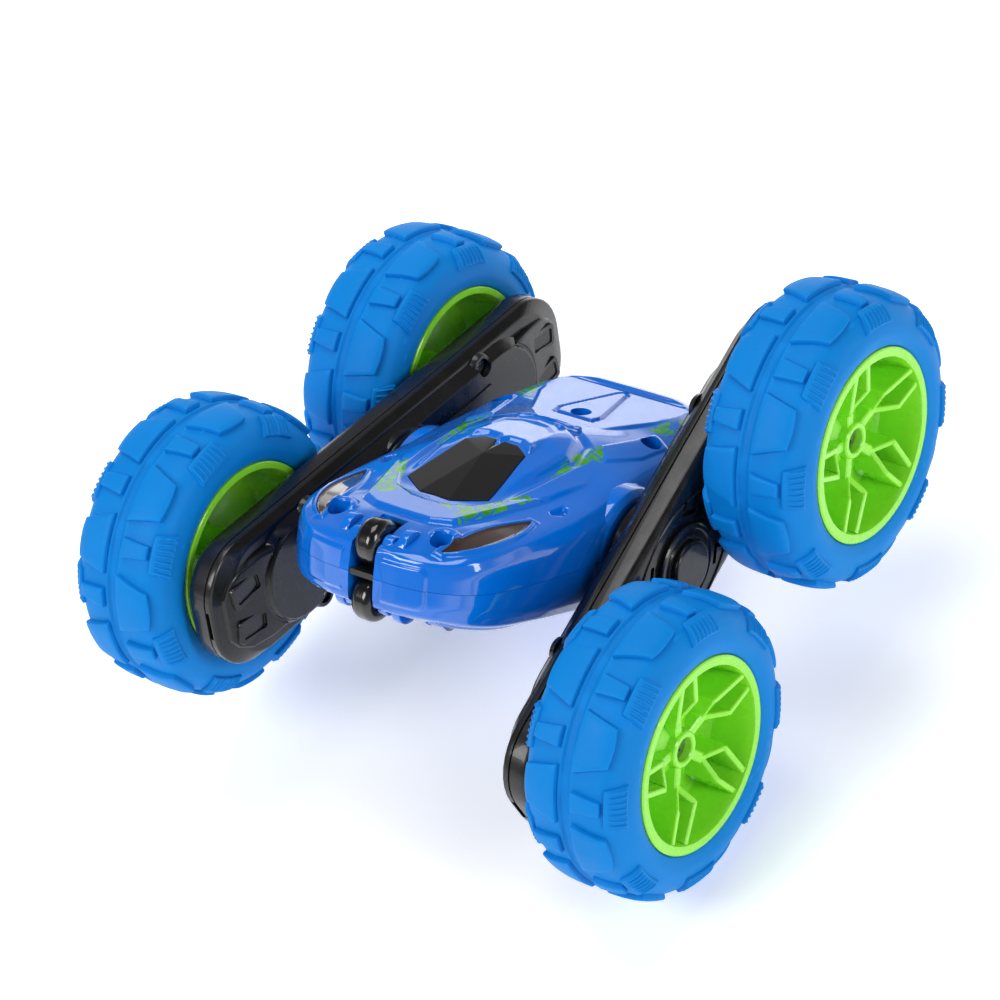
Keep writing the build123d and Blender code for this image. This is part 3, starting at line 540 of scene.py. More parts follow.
# One spoke in (radius, degrees from its middle, height): stem, fork and the two ribs' bends and ends
FORK = (10.5, -2.25, 10.2)
STEM = [(4.7, -2.25, 9.3), FORK, (11.6, -2.25, 10.3)]
LEADING_RIB = [FORK, (14.9, 16.6, 13.9), (25.2, 0.8, 15.5)]
TRAILING_RIB = [FORK, (16.5, -16.6, 14.4), (25.2, -13.5, 15.2)]
DISH_FLOOR = ([5.0, 8.5, 14.0, 20.0, 24.0], [5.6, 4.6, 2.9, 1.2, 2.0])    # radius, height


def blade(path, width, middle):
    """Upright blade along a path, from under the dish floor up to the path's heights."""
    spots = []
    for radius, degrees, height in path:
        angle = math.radians(middle + degrees)
        spots.append((radius * math.cos(angle), radius * math.sin(angle), height))
    fine = []
    for a, b in zip(spots, spots[1:]):
        fine += [tuple(np.array(a) * (1 - t) + np.array(b) * t) for t in np.arange(8) / 8]
    fine.append(spots[-1])
    sections = []
    for y, z, height in fine:
        floor, rim = np.interp(math.hypot(y, z), *DISH_FLOOR), height - 0.35
        sections.append([(-1.25, floor), (-1.0, rim), (-0.7, height),
                         (0.7, height), (1.0, rim), (1.25, floor)])
    return swept(np.array(fine)[:, :2], width, sections)


def rim_mesh():
    ribs = []
    for index in range(SPOKES):
        middle = index * 360 / SPOKES
        for path, width in ((STEM, 3.0), (LEADING_RIB, 1.75), (TRAILING_RIB, 1.75)):
            ribs.append(blade(path, width, middle))
    return ready(combined(turned(RIM_PROFILE, steps=144), ribs, "UNION"), 32.0)


# ---------------- arms

ARM = (166.0, 39.4)                      # length and height
ARM_CORNER = 15.5
PARTING = 48.6
PLATEAU = 41.1                           # raised inner face, from the car's mid-plane


def turned_step(levels, at=(0.0, 0.0), steps=72):
    return turned(levels, steps=steps, at=at, closed=False)


def arm_hollow(mouth, floor, edge):
    """Inside of a half of the arm, within the band along its rim."""
    return pad((ARM[0] - 3.6, ARM[1] - 3.6), ARM_CORNER - 2, mouth, floor, edge=edge)


def end_panel(end):
    """Ramp from the plateau down to the end of the arm, inside a low rounded border."""
    rings = []
    for y, face, half in ((58.0, 41.7, 13.2), (64.0, 42.2, 13.6), (72.0, 43.3, 13.0), (76.5, 44.0, 10.4),
                          (78.6, 44.5, 7.4), (79.4, 45.6, 6.0)):
        ring = [(46.3, -half - 0.8), (face + 0.5, -half), (face, -half + 0.8), (face, half - 0.8),
                (face + 0.5, half), (46.3, half + 0.8)]
        rings.append([(x, end * y, z) for x, z in ring])
    return loft(rings)


def arm_inner_mesh():
    """Inner half: flange band, bevel, raised plateau, ridges, end panels with pockets and the hub."""
    shell = loft(layers(ARM, ARM_CORNER, [
        (PARTING, 0.5, 0.5), (PARTING - 0.25, 0.0, 0.0), (46.9, 0.0, 0.0), (46.5, 0.3, 0.2), (46.3, 0.9, 0.5),
        (44.9, 5.3, 1.3), (44.4, 6.2, 1.7), (44.2, 7.2, 2.4)]))
    adds = [pad((127, 29.4), 14.4, 45.4, PLATEAU, edge=0.5, slope=3.6)]
    cuts = [arm_hollow(52.0, 45.9, 0.5), pad((114, ARM[1] - 12.6), 12.5, 52.0, 43.2, edge=0.5)]
    for end in (1, -1):
        adds.append(end_panel(end))
        for z in (6.3, -6.3):
            spot, turn = (end * 70.6, z), -end * z
            adds.append(pad((12.0, 7.4), 1.4, 45.0, 42.9, edge=0.3, at=spot, turn=turn, slope=0.2))
            cuts.append(pad((9.4, 4.8), 0.8, 40.0, 43.35, edge=0.2, at=spot, turn=turn))
        arc = [(end * (50.0 + 14.9 * math.cos(a)), 14.9 * math.sin(a)) for a in np.linspace(-1.25, 1.25, 21)]
        cuts.append(bar(arc, 1.0, 39.0, 42.4, edge=0.2))
        # screw bosses beside the plateau
        for z in (14.4, -14.4):
            spot = (end * 41.0, z)
            adds.append(turned_step([(44.0, 4.3), (42.6, 3.9), (42.3, 3.6), (42.3, 0.4)], spot, 40))
            cuts.append(turned_step([(38.0, 2.75), (45.0, 2.75), (45.0, 0.3)], spot, 32))
            cuts.append(turned_step([(44.0, 1.3), (50.0, 1.3), (50.0, 0.3)], spot, 20))
        # slot in the end of the flange band
        cuts.append(pad((2.4, 9.0), 0.6, 49.0, 47.3, edge=0.2, at=(end * 83.0, 0.0)))
        # long ridges towards the hub
        for z in (7.6, -7.6):
            adds.append(bar([(end * 18.0, z), (end * 30.0, z), (end * 42.0, z * 1.05)], 1.0, 42.0, 40.6))
        adds.append(pad((15.0, 7.6), 2.0, 42.0, 40.7, edge=0.35, at=(end * 26.5, 0.0), slope=0.3))
    # hub collar, bearing tube and flange
    hub = [(43.2, 16.2), (41.1, 15.9), (40.7, 14.8), (39.9, 14.5), (39.3, 13.9), (39.3, 12.0), (31.8, 12.0),
           (31.8, 13.7), (31.5, 14.0), (30.1, 14.0), (29.8, 13.7), (29.8, 12.0), (20.3, 12.0),
           (20.0, 11.7), (20.0, 10.2), (39.15, 10.2), (39.15, 3.3), (43.2, 3.3)]
    bore = turned_step([(30.0, 10.2), (39.15, 10.2), (39.15, 3.3), (50.0, 3.3)], steps=64)
    shell = combined(combined(shell, adds, "UNION"), cuts + [bore], "DIFFERENCE")
    return ready(combined(shell, [turned(hub, steps=96)], "UNION"), 35.0)


def clip_slots():
    """Cutters for four clip slots round the arm's centre ring, each with a straight and a cross cut."""
    slots = []
    for turn in (45, 135, 225, 315):
        cos_t, sin_t = math.cos(math.radians(turn)), math.sin(math.radians(turn))
        for radius, shift, size in ((15.6, 0.0, (1.6, 6.0)), (17.03, 2.4, (4.2, 1.5))):
            spot = (radius * cos_t - shift * sin_t, radius * sin_t + shift * cos_t)
            slots.append(pad(size, 0.3, 60.0, 54.0, edge=0.1, at=spot, turn=turn))
    return slots


def arm_outer_mesh():
    """Outer half: deep band with a rounded edge, centre ring, dome outline, clip slots and bosses."""
    levels = [(PARTING + 0.02, 0.5), (PARTING + 0.3, 0.0), (52.4, 0.0), (53.8, 0.35), (54.8, 1.1),
              (55.3, 2.0), (55.5, 3.2)]
    shell = loft(layers(ARM, ARM_CORNER, [(x, inset, inset) for x, inset in levels]))
    ring = turned([(54.0, 12.6), (56.6, 12.6), (57.0, 12.2), (57.0, 11.2), (56.4, 10.8), (56.4, 9.8),
                   (56.9, 9.4), (56.9, 8.3), (56.3, 8.05), (54.0, 8.05)], steps=96)
    arc = [(19.5 * math.cos(a) * 1.25, 17.0 * math.sin(a)) for a in np.linspace(0.55, 2.59, 24)]
    dome = [bar(arc, 0.7, 55.0, 55.9), bar([(y, -z) for y, z in arc], 0.7, 55.0, 55.9)]
    cap_seat = turned_step([(56.3, 7.95), (60.0, 7.95)], steps=64)
    centre_hole = turned_step([(50.0, 3.1), (60.0, 3.1)], steps=40)
    panels, recesses, bosses, axle_holes = [], [], [], []
    for end in (1, -1):
        middle, axle = (end * 47.0, 0.0), (end * WHEEL_SPACING, 0.0)
        panels.append(pad((44.0, 22.0), 6.0, 55.0, 55.95, edge=0.35, at=middle, slope=0.2))
        recesses.append(pad((39.0, 17.0), 4.0, 57.0, 55.45, edge=0.2, at=middle))
        bosses.append(turned_step([(54.0, 6.4), (55.9, 6.0), (56.4, 5.4), (56.4, 2.7)], axle, 56))
        axle_holes.append(turned_step([(45.0, 2.62), (60.0, 2.62)], axle, 40))
    hollows = [arm_hollow(40.0, 53.6, 2.0), cap_seat, centre_hole] + clip_slots() + recesses
    shell = combined(combined(shell, [ring] + dome + panels, "UNION"), hollows, "DIFFERENCE")
    return ready(combined(combined(shell, bosses, "UNION"), axle_holes, "DIFFERENCE"), 35.0)


# ---------------- body

# Stations along Y: half width on the parting line, (x, z) of the shoulder's corners, height in the middle
STATIONS = [
    (-73.3, 7.0, [(6.9, 4.0), (6.4, 6.6), (4.6, 7.4), (2.3, 7.6)], 7.6),
    (-72.9, 12.5, [(12.4, 4.2), (11.8, 7.2), (9.0, 8.2), (4.5, 8.4)], 8.4),
    (-70.8, 21.2, [(21.0, 4.6), (20.2, 7.8), (14.0, 9.2), (7.0, 9.6)], 9.6),
    (-67.5, 27.0, [(26.8, 5.0), (25.8, 8.4), (17.0, 10.2), (8.5, 10.8)], 10.8),
    (-62.4, 31.6, [(31.4, 5.8), (30.0, 9.8), (18.5, 12.0), (9.5, 12.6)], 12.6),
    (-54.0, 34.8, [(34.6, 6.8), (32.6, 11.4), (20.0, 13.4), (10.0, 13.8)], 13.9),
    (-40.8, 36.7, [(36.4, 8.0), (34.2, 12.6), (21.0, 14.6), (10.9, 14.6)], 14.9),
    (-27.0, 37.9, [(37.6, 9.0), (34.8, 13.8), (21.0, 17.0), (12.0, 18.2)], 19.0),
    (-12.0, 38.0, [(37.8, 10.2), (34.4, 15.6), (21.0, 20.4), (10.4, 23.6)], 24.4),
    (-4.0, 38.0, [(37.8, 11.2), (33.8, 17.2), (21.5, 22.0), (10.6, 26.0)], 26.8),
    (10.0, 38.0, [(37.6, 12.2), (33.2, 19.2), (23.0, 23.0), (13.0, 25.6)], 26.4),
    (25.0, 37.4, [(37.0, 13.0), (32.4, 20.8), (26.0, 24.0), (14.0, 25.0)], 25.2),
    (42.0, 34.6, [(34.0, 13.2), (29.6, 22.4), (24.0, 26.4), (15.0, 27.4)], 27.5),
    (53.0, 29.6, [(28.8, 12.4), (25.4, 21.4), (20.6, 26.2), (13.0, 27.5)], 27.6),
    (58.4, 25.9, [(25.2, 10.6), (22.6, 17.4), (18.4, 22.0), (11.8, 24.2)], 24.4),
    (59.0, 24.9, [(24.1, 9.6), (21.6, 16.0), (17.6, 20.2), (11.2, 22.0)], 22.2),
]
SLOT_HALF = 4.3
PIVOT_BORE = 12.15
SCREW_HOLE = 3.1
GAP = 0.15                               # round the glass and the lenses
DOOR = (12.35, 50.65, 19.65)             # front, rear and half width of the battery door's seat
NOSE_SLOT_END = -59.8
TAIL_SLOT_START = 53.8
ROOF_LEVEL, ROOF_SLOPE, ROOF_FALL = 26.9, 0.03, 0.012    # at y = 0, towards the rear, to the sides
CABIN = with_mirror([(14.6, -38.0), (17.4, -20.0), (18.4, -6.0), (15.4, 3.0), (9.0, 7.0)])
SCOOP_LIP = [(-3.0, 5.6), (4.4, 5.6), (7.0, 4.2), (8.6, 5.6), (4.8, 8.2), (-3.0, 8.2)]
SCOOP = [(-3.0, 9.4), (5.2, 9.4), (9.4, 7.0), (11.0, 9.2), (8.4, 12.8), (3.4, 12.2), (-3.0, 11.8)]
SCREW_SPOTS = [(17.7, -62.6, 6.0), (26.4, 22.5, 8.5), (0.0, 24.9, 21.0)]    # x, y, seat height
GLASS_HALF = [(5.0, -43.0), (14.0, -37.0), (10.4, -16.1), (5.7, -13.3), (1.5, -13.6)]
GLASS_NOTCH = (0.0, -17.2)
GLASS_APEX = (0.0, -22.0, 0.9)           # x, y, height over the deck
BONNET_EDGE = [(-6, -57.6), (9.5, -57.0), (15.2, -54.4), (20.0, -41.0), (25.4, -24.0), (27.5, -10.0)]
BONNET_BAND = [(-6.0, -57.2), (9.3, -56.8), (14.8, -54.0), (19.0, -42.5), (24.6, -27.0), (20.4, -32.0),
               (15.2, -39.4), (12.4, -43.4), (4.6, -47.0), (-6.0, -47.2)]
BAND_LEVEL, BAND_SLOPE = 20.3, 0.095
LENS_TIPS = ((20.6, -66.4), (28.6, -37.0))
DECK_STEP = with_mirror([(6.0, 13.4), (13.0, 18.6), (20.6, 33.0), (22.6, 46.0), (18.0, 50.5)])
DECK_LEVEL, DECK_SLOPE = 24.2, 0.055
COVER_PANEL = with_mirror([(6.6, 21.0), (7.4, 25.0), (1.6, 46.0), (0.0, 47.6)])
TEARDROP = [(28.4, -28.0), (29.6, -28.8), (31.8, -26.6), (31.9, -24.4), (30.6, -22.6), (29.2, -23.0)]
FENDER_PANEL = [(19.6, 8.5), (24.6, 3.0), (29.4, 14.0), (30.4, 25.5), (24.6, 27.0)]
ROOF_PANEL = with_mirror([(0.0, -14.2), (1.7, -11.4), (5.9, -11.2), (10.0, -13.4), (9.4, -6.0), (8.2, -0.6),
                          (4.4, 2.4)])


def smooth_step(value, low, high):
    t = np.clip((value - low) / (high - low), 0, 1)
    return t * t * (3 - 2 * t)


def within(path, x, y):
    """Signed distance to a closed outline in plan, positive inside."""
    inside = np.zeros(x.shape, bool)
    gap = np.full(x.shape, 1e9)
    for (ax, ay), (bx, by) in zip(path, path[1:] + path[:1]):
        dx, dy = bx - ax, by - ay
        t = np.clip(((x - ax) * dx + (y - ay) * dy) / (dx * dx + dy * dy), 0, 1)
        gap = np.minimum(gap, np.hypot(x - ax - t * dx, y - ay - t * dy))
        if dy:
            inside ^= ((ay > y) != (by > y)) & (x < ax + dx / dy * (y - ay))
    return np.where(inside, gap, -gap)


def body_rows(step):
    """Interpolated half sections: arrays of y and of the six corners' x and z."""
    table = np.array([[y, wide, 0, *np.ravel(corners), 0, high] for y, wide, corners, high in STATIONS])
    rows = []
    padded = np.vstack([2 * table[0] - table[1], table, 2 * table[-1] - table[-2]])
    for i in range(1, len(padded) - 2):
        a, b, c, d = padded[i - 1:i + 3]
        span = c[0] - b[0]
        count = max(2, math.ceil(max(span, 0.8 * abs(c[1] - b[1])) / step))
        in_slope = (c - a) / (c[0] - a[0]) * span
        out_slope = (d - b) / (d[0] - b[0]) * span
        for t in np.arange(count) / count:
            rows.append((2 * t ** 3 - 3 * t ** 2 + 1) * b + (t ** 3 - 2 * t ** 2 + t) * in_slope
                        + (3 * t ** 2 - 2 * t ** 3) * c + (t ** 3 - t ** 2) * out_slope)
    rows.append(table[-1])
    return np.array(rows)


def half_section(row, cells):
    """Points of one half section with its corners rounded, from the parting line to the middle."""
    corners = row[1:].reshape(-1, 2)
    out = [corners[0]]
    for k in range(1, 5):
        before, here, after = corners[k - 1:k + 2]
        cut = 0.28 if k < 4 else 0.2
        a, b = here + (before - here) * cut, here + (after - here) * cut
        for t in np.linspace(0, 1, 17):
            out.append((1 - t) ** 2 * a + 2 * t * (1 - t) * here + t * t * b)
    out.append(corners[5])
    out = np.array(out)
    reach = reach_along(out)
    spots = np.linspace(0, reach[-1], cells)
    return np.stack([np.interp(spots, reach, out[:, k]) for k in (0, 1)], 1)


def lens_edges(grow=0.0):
    """Inner and outer edge of the left lens as x over y, for a plan patch."""
    (ax, ay), (bx, by) = LENS_TIPS
    ys = np.linspace(ay - grow * 3, by + grow * 3, 41)
    t = np.linspace(0, 1, 41)
    spine = ax + (bx - ax) * t
    swell = np.sin(math.pi * t) ** 0.9
    inner = spine - (1.7 + grow) * swell - grow * 0.3 + 0.4 * np.sin(2 * math.pi * t)
    outer = spine + (5.4 + grow) * np.sin(math.pi * t ** 0.8) ** 0.8 + grow * 0.3
    return ys, inner, np.maximum(outer, inner + 0.05)


def near_zero(value, full, none):
    """1 where the value is close to zero, falling to 0."""
    return 1 - smooth_step(np.abs(value), full, none)


def relief(x, y, under):
    """Height of the moulded detail over the smooth deck."""
    ax = np.abs(x)
    raised = np.zeros(x.shape)
    edge = BONNET_EDGE + [(22.0, 4.0), (-6.0, 6.0)]
    raised += 1.15 * smooth_step(within(edge, ax, y), -0.7, 0.5) * (1 - smooth_step(y, -22.0, -2.0))
    # raised rims round the lenses
    ys, inner, outer = lens_edges()
    beside = np.maximum(np.interp(y, ys, inner) - ax, ax - np.interp(y, ys, outer))
    gap = np.maximum(beside, np.maximum(ys[0] - y, y - ys[-1]))
    raised += 0.7 * near_zero(gap - 0.8, 0.3, 1.2)
    # hoods over the nose screws and teardrop hollows in the fenders
    hood = np.hypot(ax - SCREW_SPOTS[0][0], y - SCREW_SPOTS[0][1] - 1.2)
    raised += 1.1 * near_zero(hood - 3.2, 0.5, 1.9) * smooth_step(y, -63.4, -61.0)
    raised -= 1.7 * smooth_step(within(TEARDROP, ax, y), -0.3, 0.6)
    # cabin standing over a crease along its foot
    cabin = within(CABIN, x, y)
    fade = smooth_step(y, -38.0, -20.0)
    raised += 0.7 * smooth_step(cabin, -0.6, 2.4) * fade
    raised -= 1.1 * near_zero(cabin + 1.2, 0.2, 2.6) * fade
    # scoop behind its lip
    raised += 1.0 * smooth_step(within(SCOOP_LIP, ax, y), -0.5, 0.5)
    raised -= 1.6 * smooth_step(within(SCOOP, ax, y), -0.6, 0.8)
    if under:
        return raised
    # cover panel in its groove, fender panels and the seam by the tail
    cover = within(COVER_PANEL, x, y)
    raised -= 0.8 * near_zero(cover, 0.35, 0.7)
    raised += 0.3 * smooth_step(cover, 0.5, 0.9)
    raised += 0.6 * smooth_step(within(FENDER_PANEL, ax, y), -0.4, 0.4)
    raised -= 0.5 * near_zero(y - 48.5, 0.25, 0.5) * (1 - smooth_step(ax, 22.0, 23.0))
    return raised


class Deck:
    """The body's outer surface above the parting plane as a grid of points."""

    def __init__(self, under, step=0.36, cells=140):
        rows = body_rows(step)
        half = np.array([half_section(row, cells) for row in rows])
        self.y = rows[:, 0]
        x, z = half[:, :, 0], half[:, :, 1].copy()
        y = np.repeat(rows[:, :1], cells, 1)
        slope = np.gradient(half, axis=1)
        level = np.abs(slope[:, :, 0]) / (np.hypot(slope[:, :, 0], slope[:, :, 1]) + 1e-9)
        if not under:
            # flat plate behind the cabin
            plate = smooth_step(within(DECK_STEP, x, y), -0.5, 0.5)
            z += plate * (DECK_LEVEL + DECK_SLOPE * y - z)
        z += relief(x, y, under) * smooth_step(level, 0.15, 0.6)
        # flat band round the front of the bonnet
        band = smooth_step(within(BONNET_BAND, np.abs(x), y), -0.5, 0.4)
        z += band * (BAND_LEVEL + BAND_SLOPE * y - z)
        # level roof plate with a bevelled front
        plate = smooth_step(within(ROOF_PANEL, x, y), -1.0, 0.8)
        z += plate * (ROOF_LEVEL + ROOF_SLOPE * y - ROOF_FALL * np.abs(x) - z)
        # bumper panels beside the nose slot
        panel = rounded_gap(x - 12.3, z, 8.2, 6.3, 2.6)
        front = smooth_step(-y, 66.0, 67.5) * (1 - smooth_step(panel, -1.0, 0.2))
        self.x, self.z = x, z
        self.wall_y = y - 0.7 * front * (1 - smooth_step(z, 5.6, 7.6))

    def height(self, x, y):
        """Height of the smooth deck with its relief at one spot in plan."""
        row = int(np.clip(np.searchsorted(self.y, y), 1, len(self.y) - 1))
        t = (y - self.y[row - 1]) / (self.y[row] - self.y[row - 1])
        xs = (1 - t) * self.x[row - 1] + t * self.x[row]
        zs = (1 - t) * self.z[row - 1] + t * self.z[row]
        return float(np.interp(abs(x), xs[::-1], zs[::-1]))

    def mesh(self):
        """Closed solid: both halves of the surface over a flat base."""
        return loft([with_mirror(list(zip(*row))) for row in zip(self.x, self.wall_y, self.z)])


def rounded_gap(x, z, half_x, half_z, corner):
    """Signed distance to a rounded rectangle, negative inside."""
    dx, dz = np.abs(x) - half_x + corner, np.abs(z) - half_z + corner
    outside = np.hypot(np.maximum(dx, 0), np.maximum(dz, 0))
    return outside + np.minimum(np.maximum(dx, dz), 0) - corner


def patch(edges, height, low, high, columns=24):
    """Solid layer over a plan area between two edges, from low to high over the given surface."""
    ys, inner, outer = edges
    top, base = [], []
    for y, a, b in zip(ys, inner, outer):
        for x in np.linspace(a, b, columns):
            z = height(x, y)
            top.append((x, y, z + high))
            base.append((x, y, z + low))
    faces = two_sheets(len(ys), columns)
    grid = np.arange(len(top)).reshape(-1, columns)
    border = np.concatenate([grid[0], grid[1:, -1], grid[-1, -2::-1], grid[-2:0:-1, 0]]).tolist()
    for a, b in zip(border, border[1:] + border[:1]):
        faces.append([a, b, len(top) + b, len(top) + a])
    return solid(top + base, faces)


def upright(radius, low, high, x, y, steps=40):
    angles = np.linspace(0, 2 * math.pi, steps, endpoint=False)
    return loft([[(x + radius * math.cos(a), y + radius * math.sin(a), z) for a in angles]
                 for z in (low, high)])


def box_solid(x, y, z):
    corners = [(x[0], y[0]), (x[1], y[0]), (x[1], y[1]), (x[0], y[1])]
    return loft([[(*corner, level) for corner in corners] for level in z])


def cavity(step=3.0, wall=2.0):
    """Inside of the shell: the sections drawn in by the wall, between the nose and tail blocks."""
    rings = []
    for row in body_rows(step):
        if not -52.0 < row[0] < 50.0:
            continue
        rings.append(with_mirror([(max(x - wall, 0.0), row[0], z - wall - 0.8 if z > 0 else -1.0)
                                  for x, z in row[1:].reshape(-1, 2)]))
    return loft(rings)


def fairings():
    """Round bulges over the pivot, with a facet round their faces."""
    profile = [(30.0, 12.2), (30.0, 17.4), (33.0, 18.0), (36.6, 17.6), (37.2, 17.2), (38.3, 15.6),
               (38.4, 15.2), (38.4, 12.2)]
    return both_ways(turned(profile, steps=96), "X")


def nose_details():
    """Bosses and arched fins beside the roller slot."""
    boss = [(SLOT_HALF + 0.02, 1.7), (SLOT_HALF + 0.02, 2.8), (6.9, 2.8), (7.2, 2.5), (7.2, 0.3)]
    fin = [(8.3, 0.3), (8.3, 4.7), (8.6, 5.0), (10.9, 5.0), (11.2, 4.7), (11.2, 0.3)]
    left = [turned_step(boss, (-68.3, 8.6), 36), turned_step(fin, (-65.6, 8.3), 56)]
    return left + [mirrored(mesh, "X") for mesh in left]


def cut_below(shell):
    """Only what stands above the parting plane, with a shallow step along it."""
    return combined(shell, [box_solid((-60, 60), (-90, 90), (-40.0, 0.06))], "DIFFERENCE")


def shell_mesh(deck, under):
    """Hollow half shell in the upper position; the under one carries the battery door's seat."""
    shell = combined(deck.mesh(), [cavity()], "DIFFERENCE")
    shell = combined(shell, fairings() + nose_details(), "UNION")
    cuts = [box_solid((-SLOT_HALF, SLOT_HALF), (-90, NOSE_SLOT_END), (-9, 60)),
            box_solid((-SLOT_HALF, SLOT_HALF), (TAIL_SLOT_START, 90), (-9, 60)),
            turned_step([(-60, PIVOT_BORE), (60, PIVOT_BORE)], steps=96),
            glass_cut()]
    cuts += both_ways(patch(lens_edges(GAP), deck.height, -1.4, 4.0), "X")
    for x, y, seat in SCREW_SPOTS:
        if x:
            seat += 2.2 * under
            cuts += [upright(SCREW_HOLE, seat, 60, side * x, y) for side in (1, -1)]
        elif not under:
            cuts.append(upright(SCREW_HOLE, seat, 60, x, y))
    if under:
        front, rear, half = DOOR
        door = (np.linspace(front, rear, 30), np.full(30, -half), np.full(30, half))
        cuts.append(patch(door, deck.height, -1.5, 4.0))
        cuts.append(box_solid((-18.0, 18.0), (14.0, 49.0), (4.0, 60)))
        cuts.append(box_solid((-2.1, 2.1), (-3.4, 5.4), (10.0, 60)))
    return combined(cut_below(shell), cuts, "DIFFERENCE")


def mark_decals(mesh, under):
    """Float attribute that is 1 where green crackle is printed."""
    points = np.array([v.co for v in mesh.vertices])
    x, y = np.abs(points[:, 0]), points[:, 1]
    areas = [
        [(13.6, -51.5), (16.2, -53.0), (23.6, -29.5), (20.8, -28.0), (15.4, -37.5), (14.2, -43.5)],
        [(4.5, -47.5), (10.5, -49.0), (14.6, -52.8), (16.6, -48.0), (13.0, -43.4), (8.0, -44.6)],
        [(19.8, -17.5), (16.6, 0.0), (19.6, 8.6), (24.2, 2.4), (22.0, -6.0)],
    ]
    if not under:
        areas.append([(20.5, 28.0), (26.5, 29.0), (28.0, 40.0), (24.5, 44.0)])
    value = np.zeros(len(points))
    for area in areas:
        value = np.maximum(value, smooth_step(within(area, x, y), -0.25, 0.25))
    value *= points[:, 2] > 6.0
    layer = mesh.attributes.new("decal", "FLOAT", "POINT")
    layer.data.foreach_set("value", value.astype(np.float32))


def glass_outline(grow=0.0):
    """Plan of the windscreen, front left round to front right, with a notch at the roof."""
    half = [(x + grow, y + (grow if y > -30 else -grow)) for x, y in GLASS_HALF[:4]]
    half.append((GLASS_HALF[4][0] - 0.6 * grow, GLASS_HALF[4][1] + grow))
    return with_mirror(half + [(GLASS_NOTCH[0], GLASS_NOTCH[1] + 1.4 * grow)])


def glass_cut():
    outline = glass_outline(GAP)
    return loft([[(x, y, level) for x, y in outline] for level in (11.0, 40.0)])


def glass_mesh(deck):
    """Three-faceted windscreen with rounded edges, its apex under the roof's notch."""
    outline = glass_outline()
    count = len(outline)
    points = [(x, y, deck.height(x, y) + 0.3) for x, y in outline]
    points.append((GLASS_APEX[0], GLASS_APEX[1], deck.height(*GLASS_APEX[:2]) + GLASS_APEX[2]))
    points += [(x, y, deck.height(x, y) - 1.2) for x, y in outline]
    apex, under = count, count + 1
    faces = [[count - 1, 0, apex]]
    faces += [[k, k + 1, apex] for k in range(count - 1)]
    faces += [[k, (k + 1) % count, under + (k + 1) % count, under + k] for k in range(count)]
    faces.append([under + k for k in range(count)])
    mesh = solid(points, faces)
    work = bmesh.new()
    work.from_mesh(mesh)
    flat = [e for e in work.edges if e.calc_face_angle(0.0) < math.radians(3)]
    bmesh.ops.dissolve_edges(work, edges=flat, use_verts=False)
    bmesh.ops.bevel(work, geom=work.edges[:], offset=0.22, segments=2, affect="EDGES", profile=0.6)
    work.to_mesh(mesh)
    work.free()
    return mesh


# ---------------- build

def build_wheels():
    """Tyres and rims, each turned as far as in the photo."""
    tyre, rim = tyre_mesh(), rim_mesh()
    treads = {"front_left": 17.7, "rear_left": 17.7, "front_right": 20.0, "rear_right": 5.0}
    for end in ENDS:
        for side in SIDES:
            name = end + "_" + side
            for title, mesh, degrees, slot, node in (
                    ("tyre_tread_", tyre, treads[name], "tyre_blue", "tyre_"),
                    ("rim_spokes_", rim, RIM_DEGREES, "rim_green", "rim_")):
                piece(title + name, mesh, wheel_place(end, side, degrees), "wheel_" + name, slot,
                      node + name, even=False)


def build_arms():
    halves = {"inner": arm_inner_mesh(), "outer": arm_outer_mesh()}
    for side in SIDES:
        for half, mesh in halves.items():
            piece("arm_" + half + "_cover_" + side, mesh, arm_place(side), "arm_" + side, "arm_black",
                  "arm_" + half + "_shell_" + side)


def build_body():
    place = body_place()
    for face, under in (("top", False), ("bottom", True)):
        deck = Deck(under)
        node = "lower_shell" if under else "upper_shell"
        shell = shell_mesh(deck, under)
        mark_decals(shell, under)
        glass = glass_mesh(deck)
        lens = patch(lens_edges(), deck.height, -1.3, 0.05, 12)
        made = {"shell": shell, "glass": glass, "left": lens, "right": mirrored(lens, "X")}
        if under:
            made = {key: mirrored(mesh, "Z") for key, mesh in made.items()}
        piece("body_" + node, ready(made["shell"], 50.0), place, "chassis", "body_blue", node)
        piece("windscreen_glass_" + face, ready(made["glass"], 20.0), place, "chassis", "glass_black",
              "windscreen_" + face)
        for side in SIDES:
            piece("lens_cover_" + face + "_" + side, ready(made[side], 30.0), place, "chassis",
                  "lens_smoke", "headlamp_lens_" + face + "_" + side)


# ---------------- stage, lights, camera

FLOOR_SIZE = 8.0
CAMERA = (48.25, 42.85, -20.08)          # azimuth, elevation and roll in degrees
CAMERA_DISTANCE = 1.157
CAMERA_SHIFT = (-0.00644, 0.00441)       # from the pivot, along the picture's right and up
CAMERA_LENS = 146.7


def build_floor():
    half = FLOOR_SIZE / 2
    corners = [(-half, -half, 0), (half, -half, 0), (half, half, 0), (-half, half, 0)]
    mesh = bpy.data.meshes.new("floor")
    mesh.from_pydata(corners, [], [(0, 1, 2, 3)])
    floor = placed("floor", mesh)
    paint = Paint("floor", Roughness=0.7, Emission_Color=(1.0, 1.0, 1.0, 1.0), Emission_Strength=0.4)
    tone = paint.ranged(paint.noise(3.0))
    paint.wire(Base_Color=paint.mix(tone, (0.93, 0.93, 0.93, 1), (0.9, 0.9, 0.905, 1)))
    mesh.materials.append(paint.material)


def softbox(name, place, size, power, aim=(0, 0, 0.05), mirrored_in_gloss=True):
    light = bpy.data.lights.new(name, "AREA")
    light.shape = "RECTANGLE"
    light.size, light.size_y = size
    light.energy = power
    obj = placed(name, light)
    obj.location = place
    obj.rotation_euler = (Vector(aim) - Vector(place)).to_track_quat("-Z", "Y").to_euler()
    obj.visible_camera = False
    obj.visible_glossy = mirrored_in_gloss


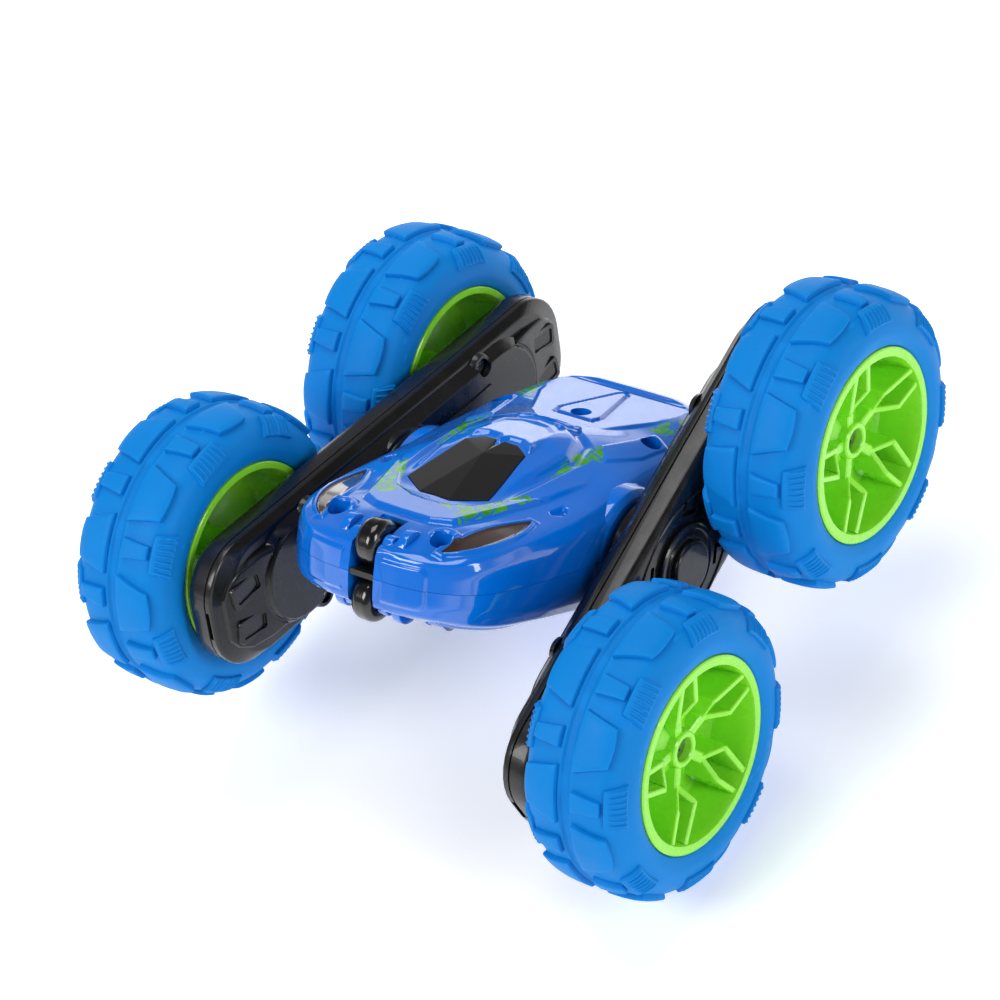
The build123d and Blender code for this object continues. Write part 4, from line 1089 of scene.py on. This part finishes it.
SKY = ((0.06, 1.3), (0.16, 0.3), (0.45, 0.2), (0.6, 0.1))    # height of the direction, strength


def build_lights():
    softbox("key_softbox", (-0.45, -1.05, 1.15), (0.7, 0.7), 13.0)
    softbox("right_softbox", (1.25, -0.15, 0.75), (0.35, 0.7), 6.5)
    softbox("top_softbox", (-0.25, 0.35, 1.5), (0.9, 0.9), 9.0)
    # lights the floor behind the car from straight above it
    softbox("back_softbox", (-0.55, 0.85, 0.5), (1.0, 0.8), 7.0, (-0.55, 0.85, 0.0), False)
    world = bpy.data.worlds.new("studio")
    bpy.context.scene.world = world
    world.use_nodes = True
    tree = world.node_tree
    background = tree.nodes["Background"]
    split = tree.nodes.new("ShaderNodeSeparateXYZ")
    tree.links.new(tree.nodes.new("ShaderNodeTexCoord").outputs["Generated"], split.inputs[0])
    fall = tree.nodes.new("ShaderNodeValToRGB")
    while len(fall.color_ramp.elements) < len(SKY):
        fall.color_ramp.elements.new(0.5)
    for element, (height, strength) in zip(fall.color_ramp.elements, SKY):
        element.position = height
        element.color = (strength, strength, strength, 1.0)
    tree.links.new(split.outputs["Z"], fall.inputs["Fac"])
    tree.links.new(fall.outputs["Color"], background.inputs["Strength"])
    background.inputs["Color"].default_value = (1.0, 1.0, 1.0, 1.0)


def build_camera():
    azimuth, elevation, roll = [math.radians(v) for v in CAMERA]
    back = Vector((math.sin(azimuth) * math.cos(elevation), -math.cos(azimuth) * math.cos(elevation),
                   math.sin(elevation)))
    right = Vector((math.cos(azimuth), math.sin(azimuth), 0))
    up = back.cross(right)
    right, up = (right * math.cos(roll) + up * math.sin(roll),
                 up * math.cos(roll) - right * math.sin(roll))
    data = bpy.data.cameras.new("camera")
    data.lens = CAMERA_LENS
    data.sensor_width = 36.0
    data.clip_start, data.clip_end = 0.05, 30.0
    camera = placed("camera", data)
    turn = Matrix((right, up, back)).transposed().to_4x4()
    spot = PIVOT + back * CAMERA_DISTANCE + right * CAMERA_SHIFT[0] + up * CAMERA_SHIFT[1]
    camera.matrix_world = Matrix.Translation(spot) @ turn
    bpy.context.scene.camera = camera


paint_frame()
build_wheels()
build_arms()
build_body()
build_floor()
build_lights()
build_camera()
bpy.context.scene.view_settings.view_transform = "Standard"
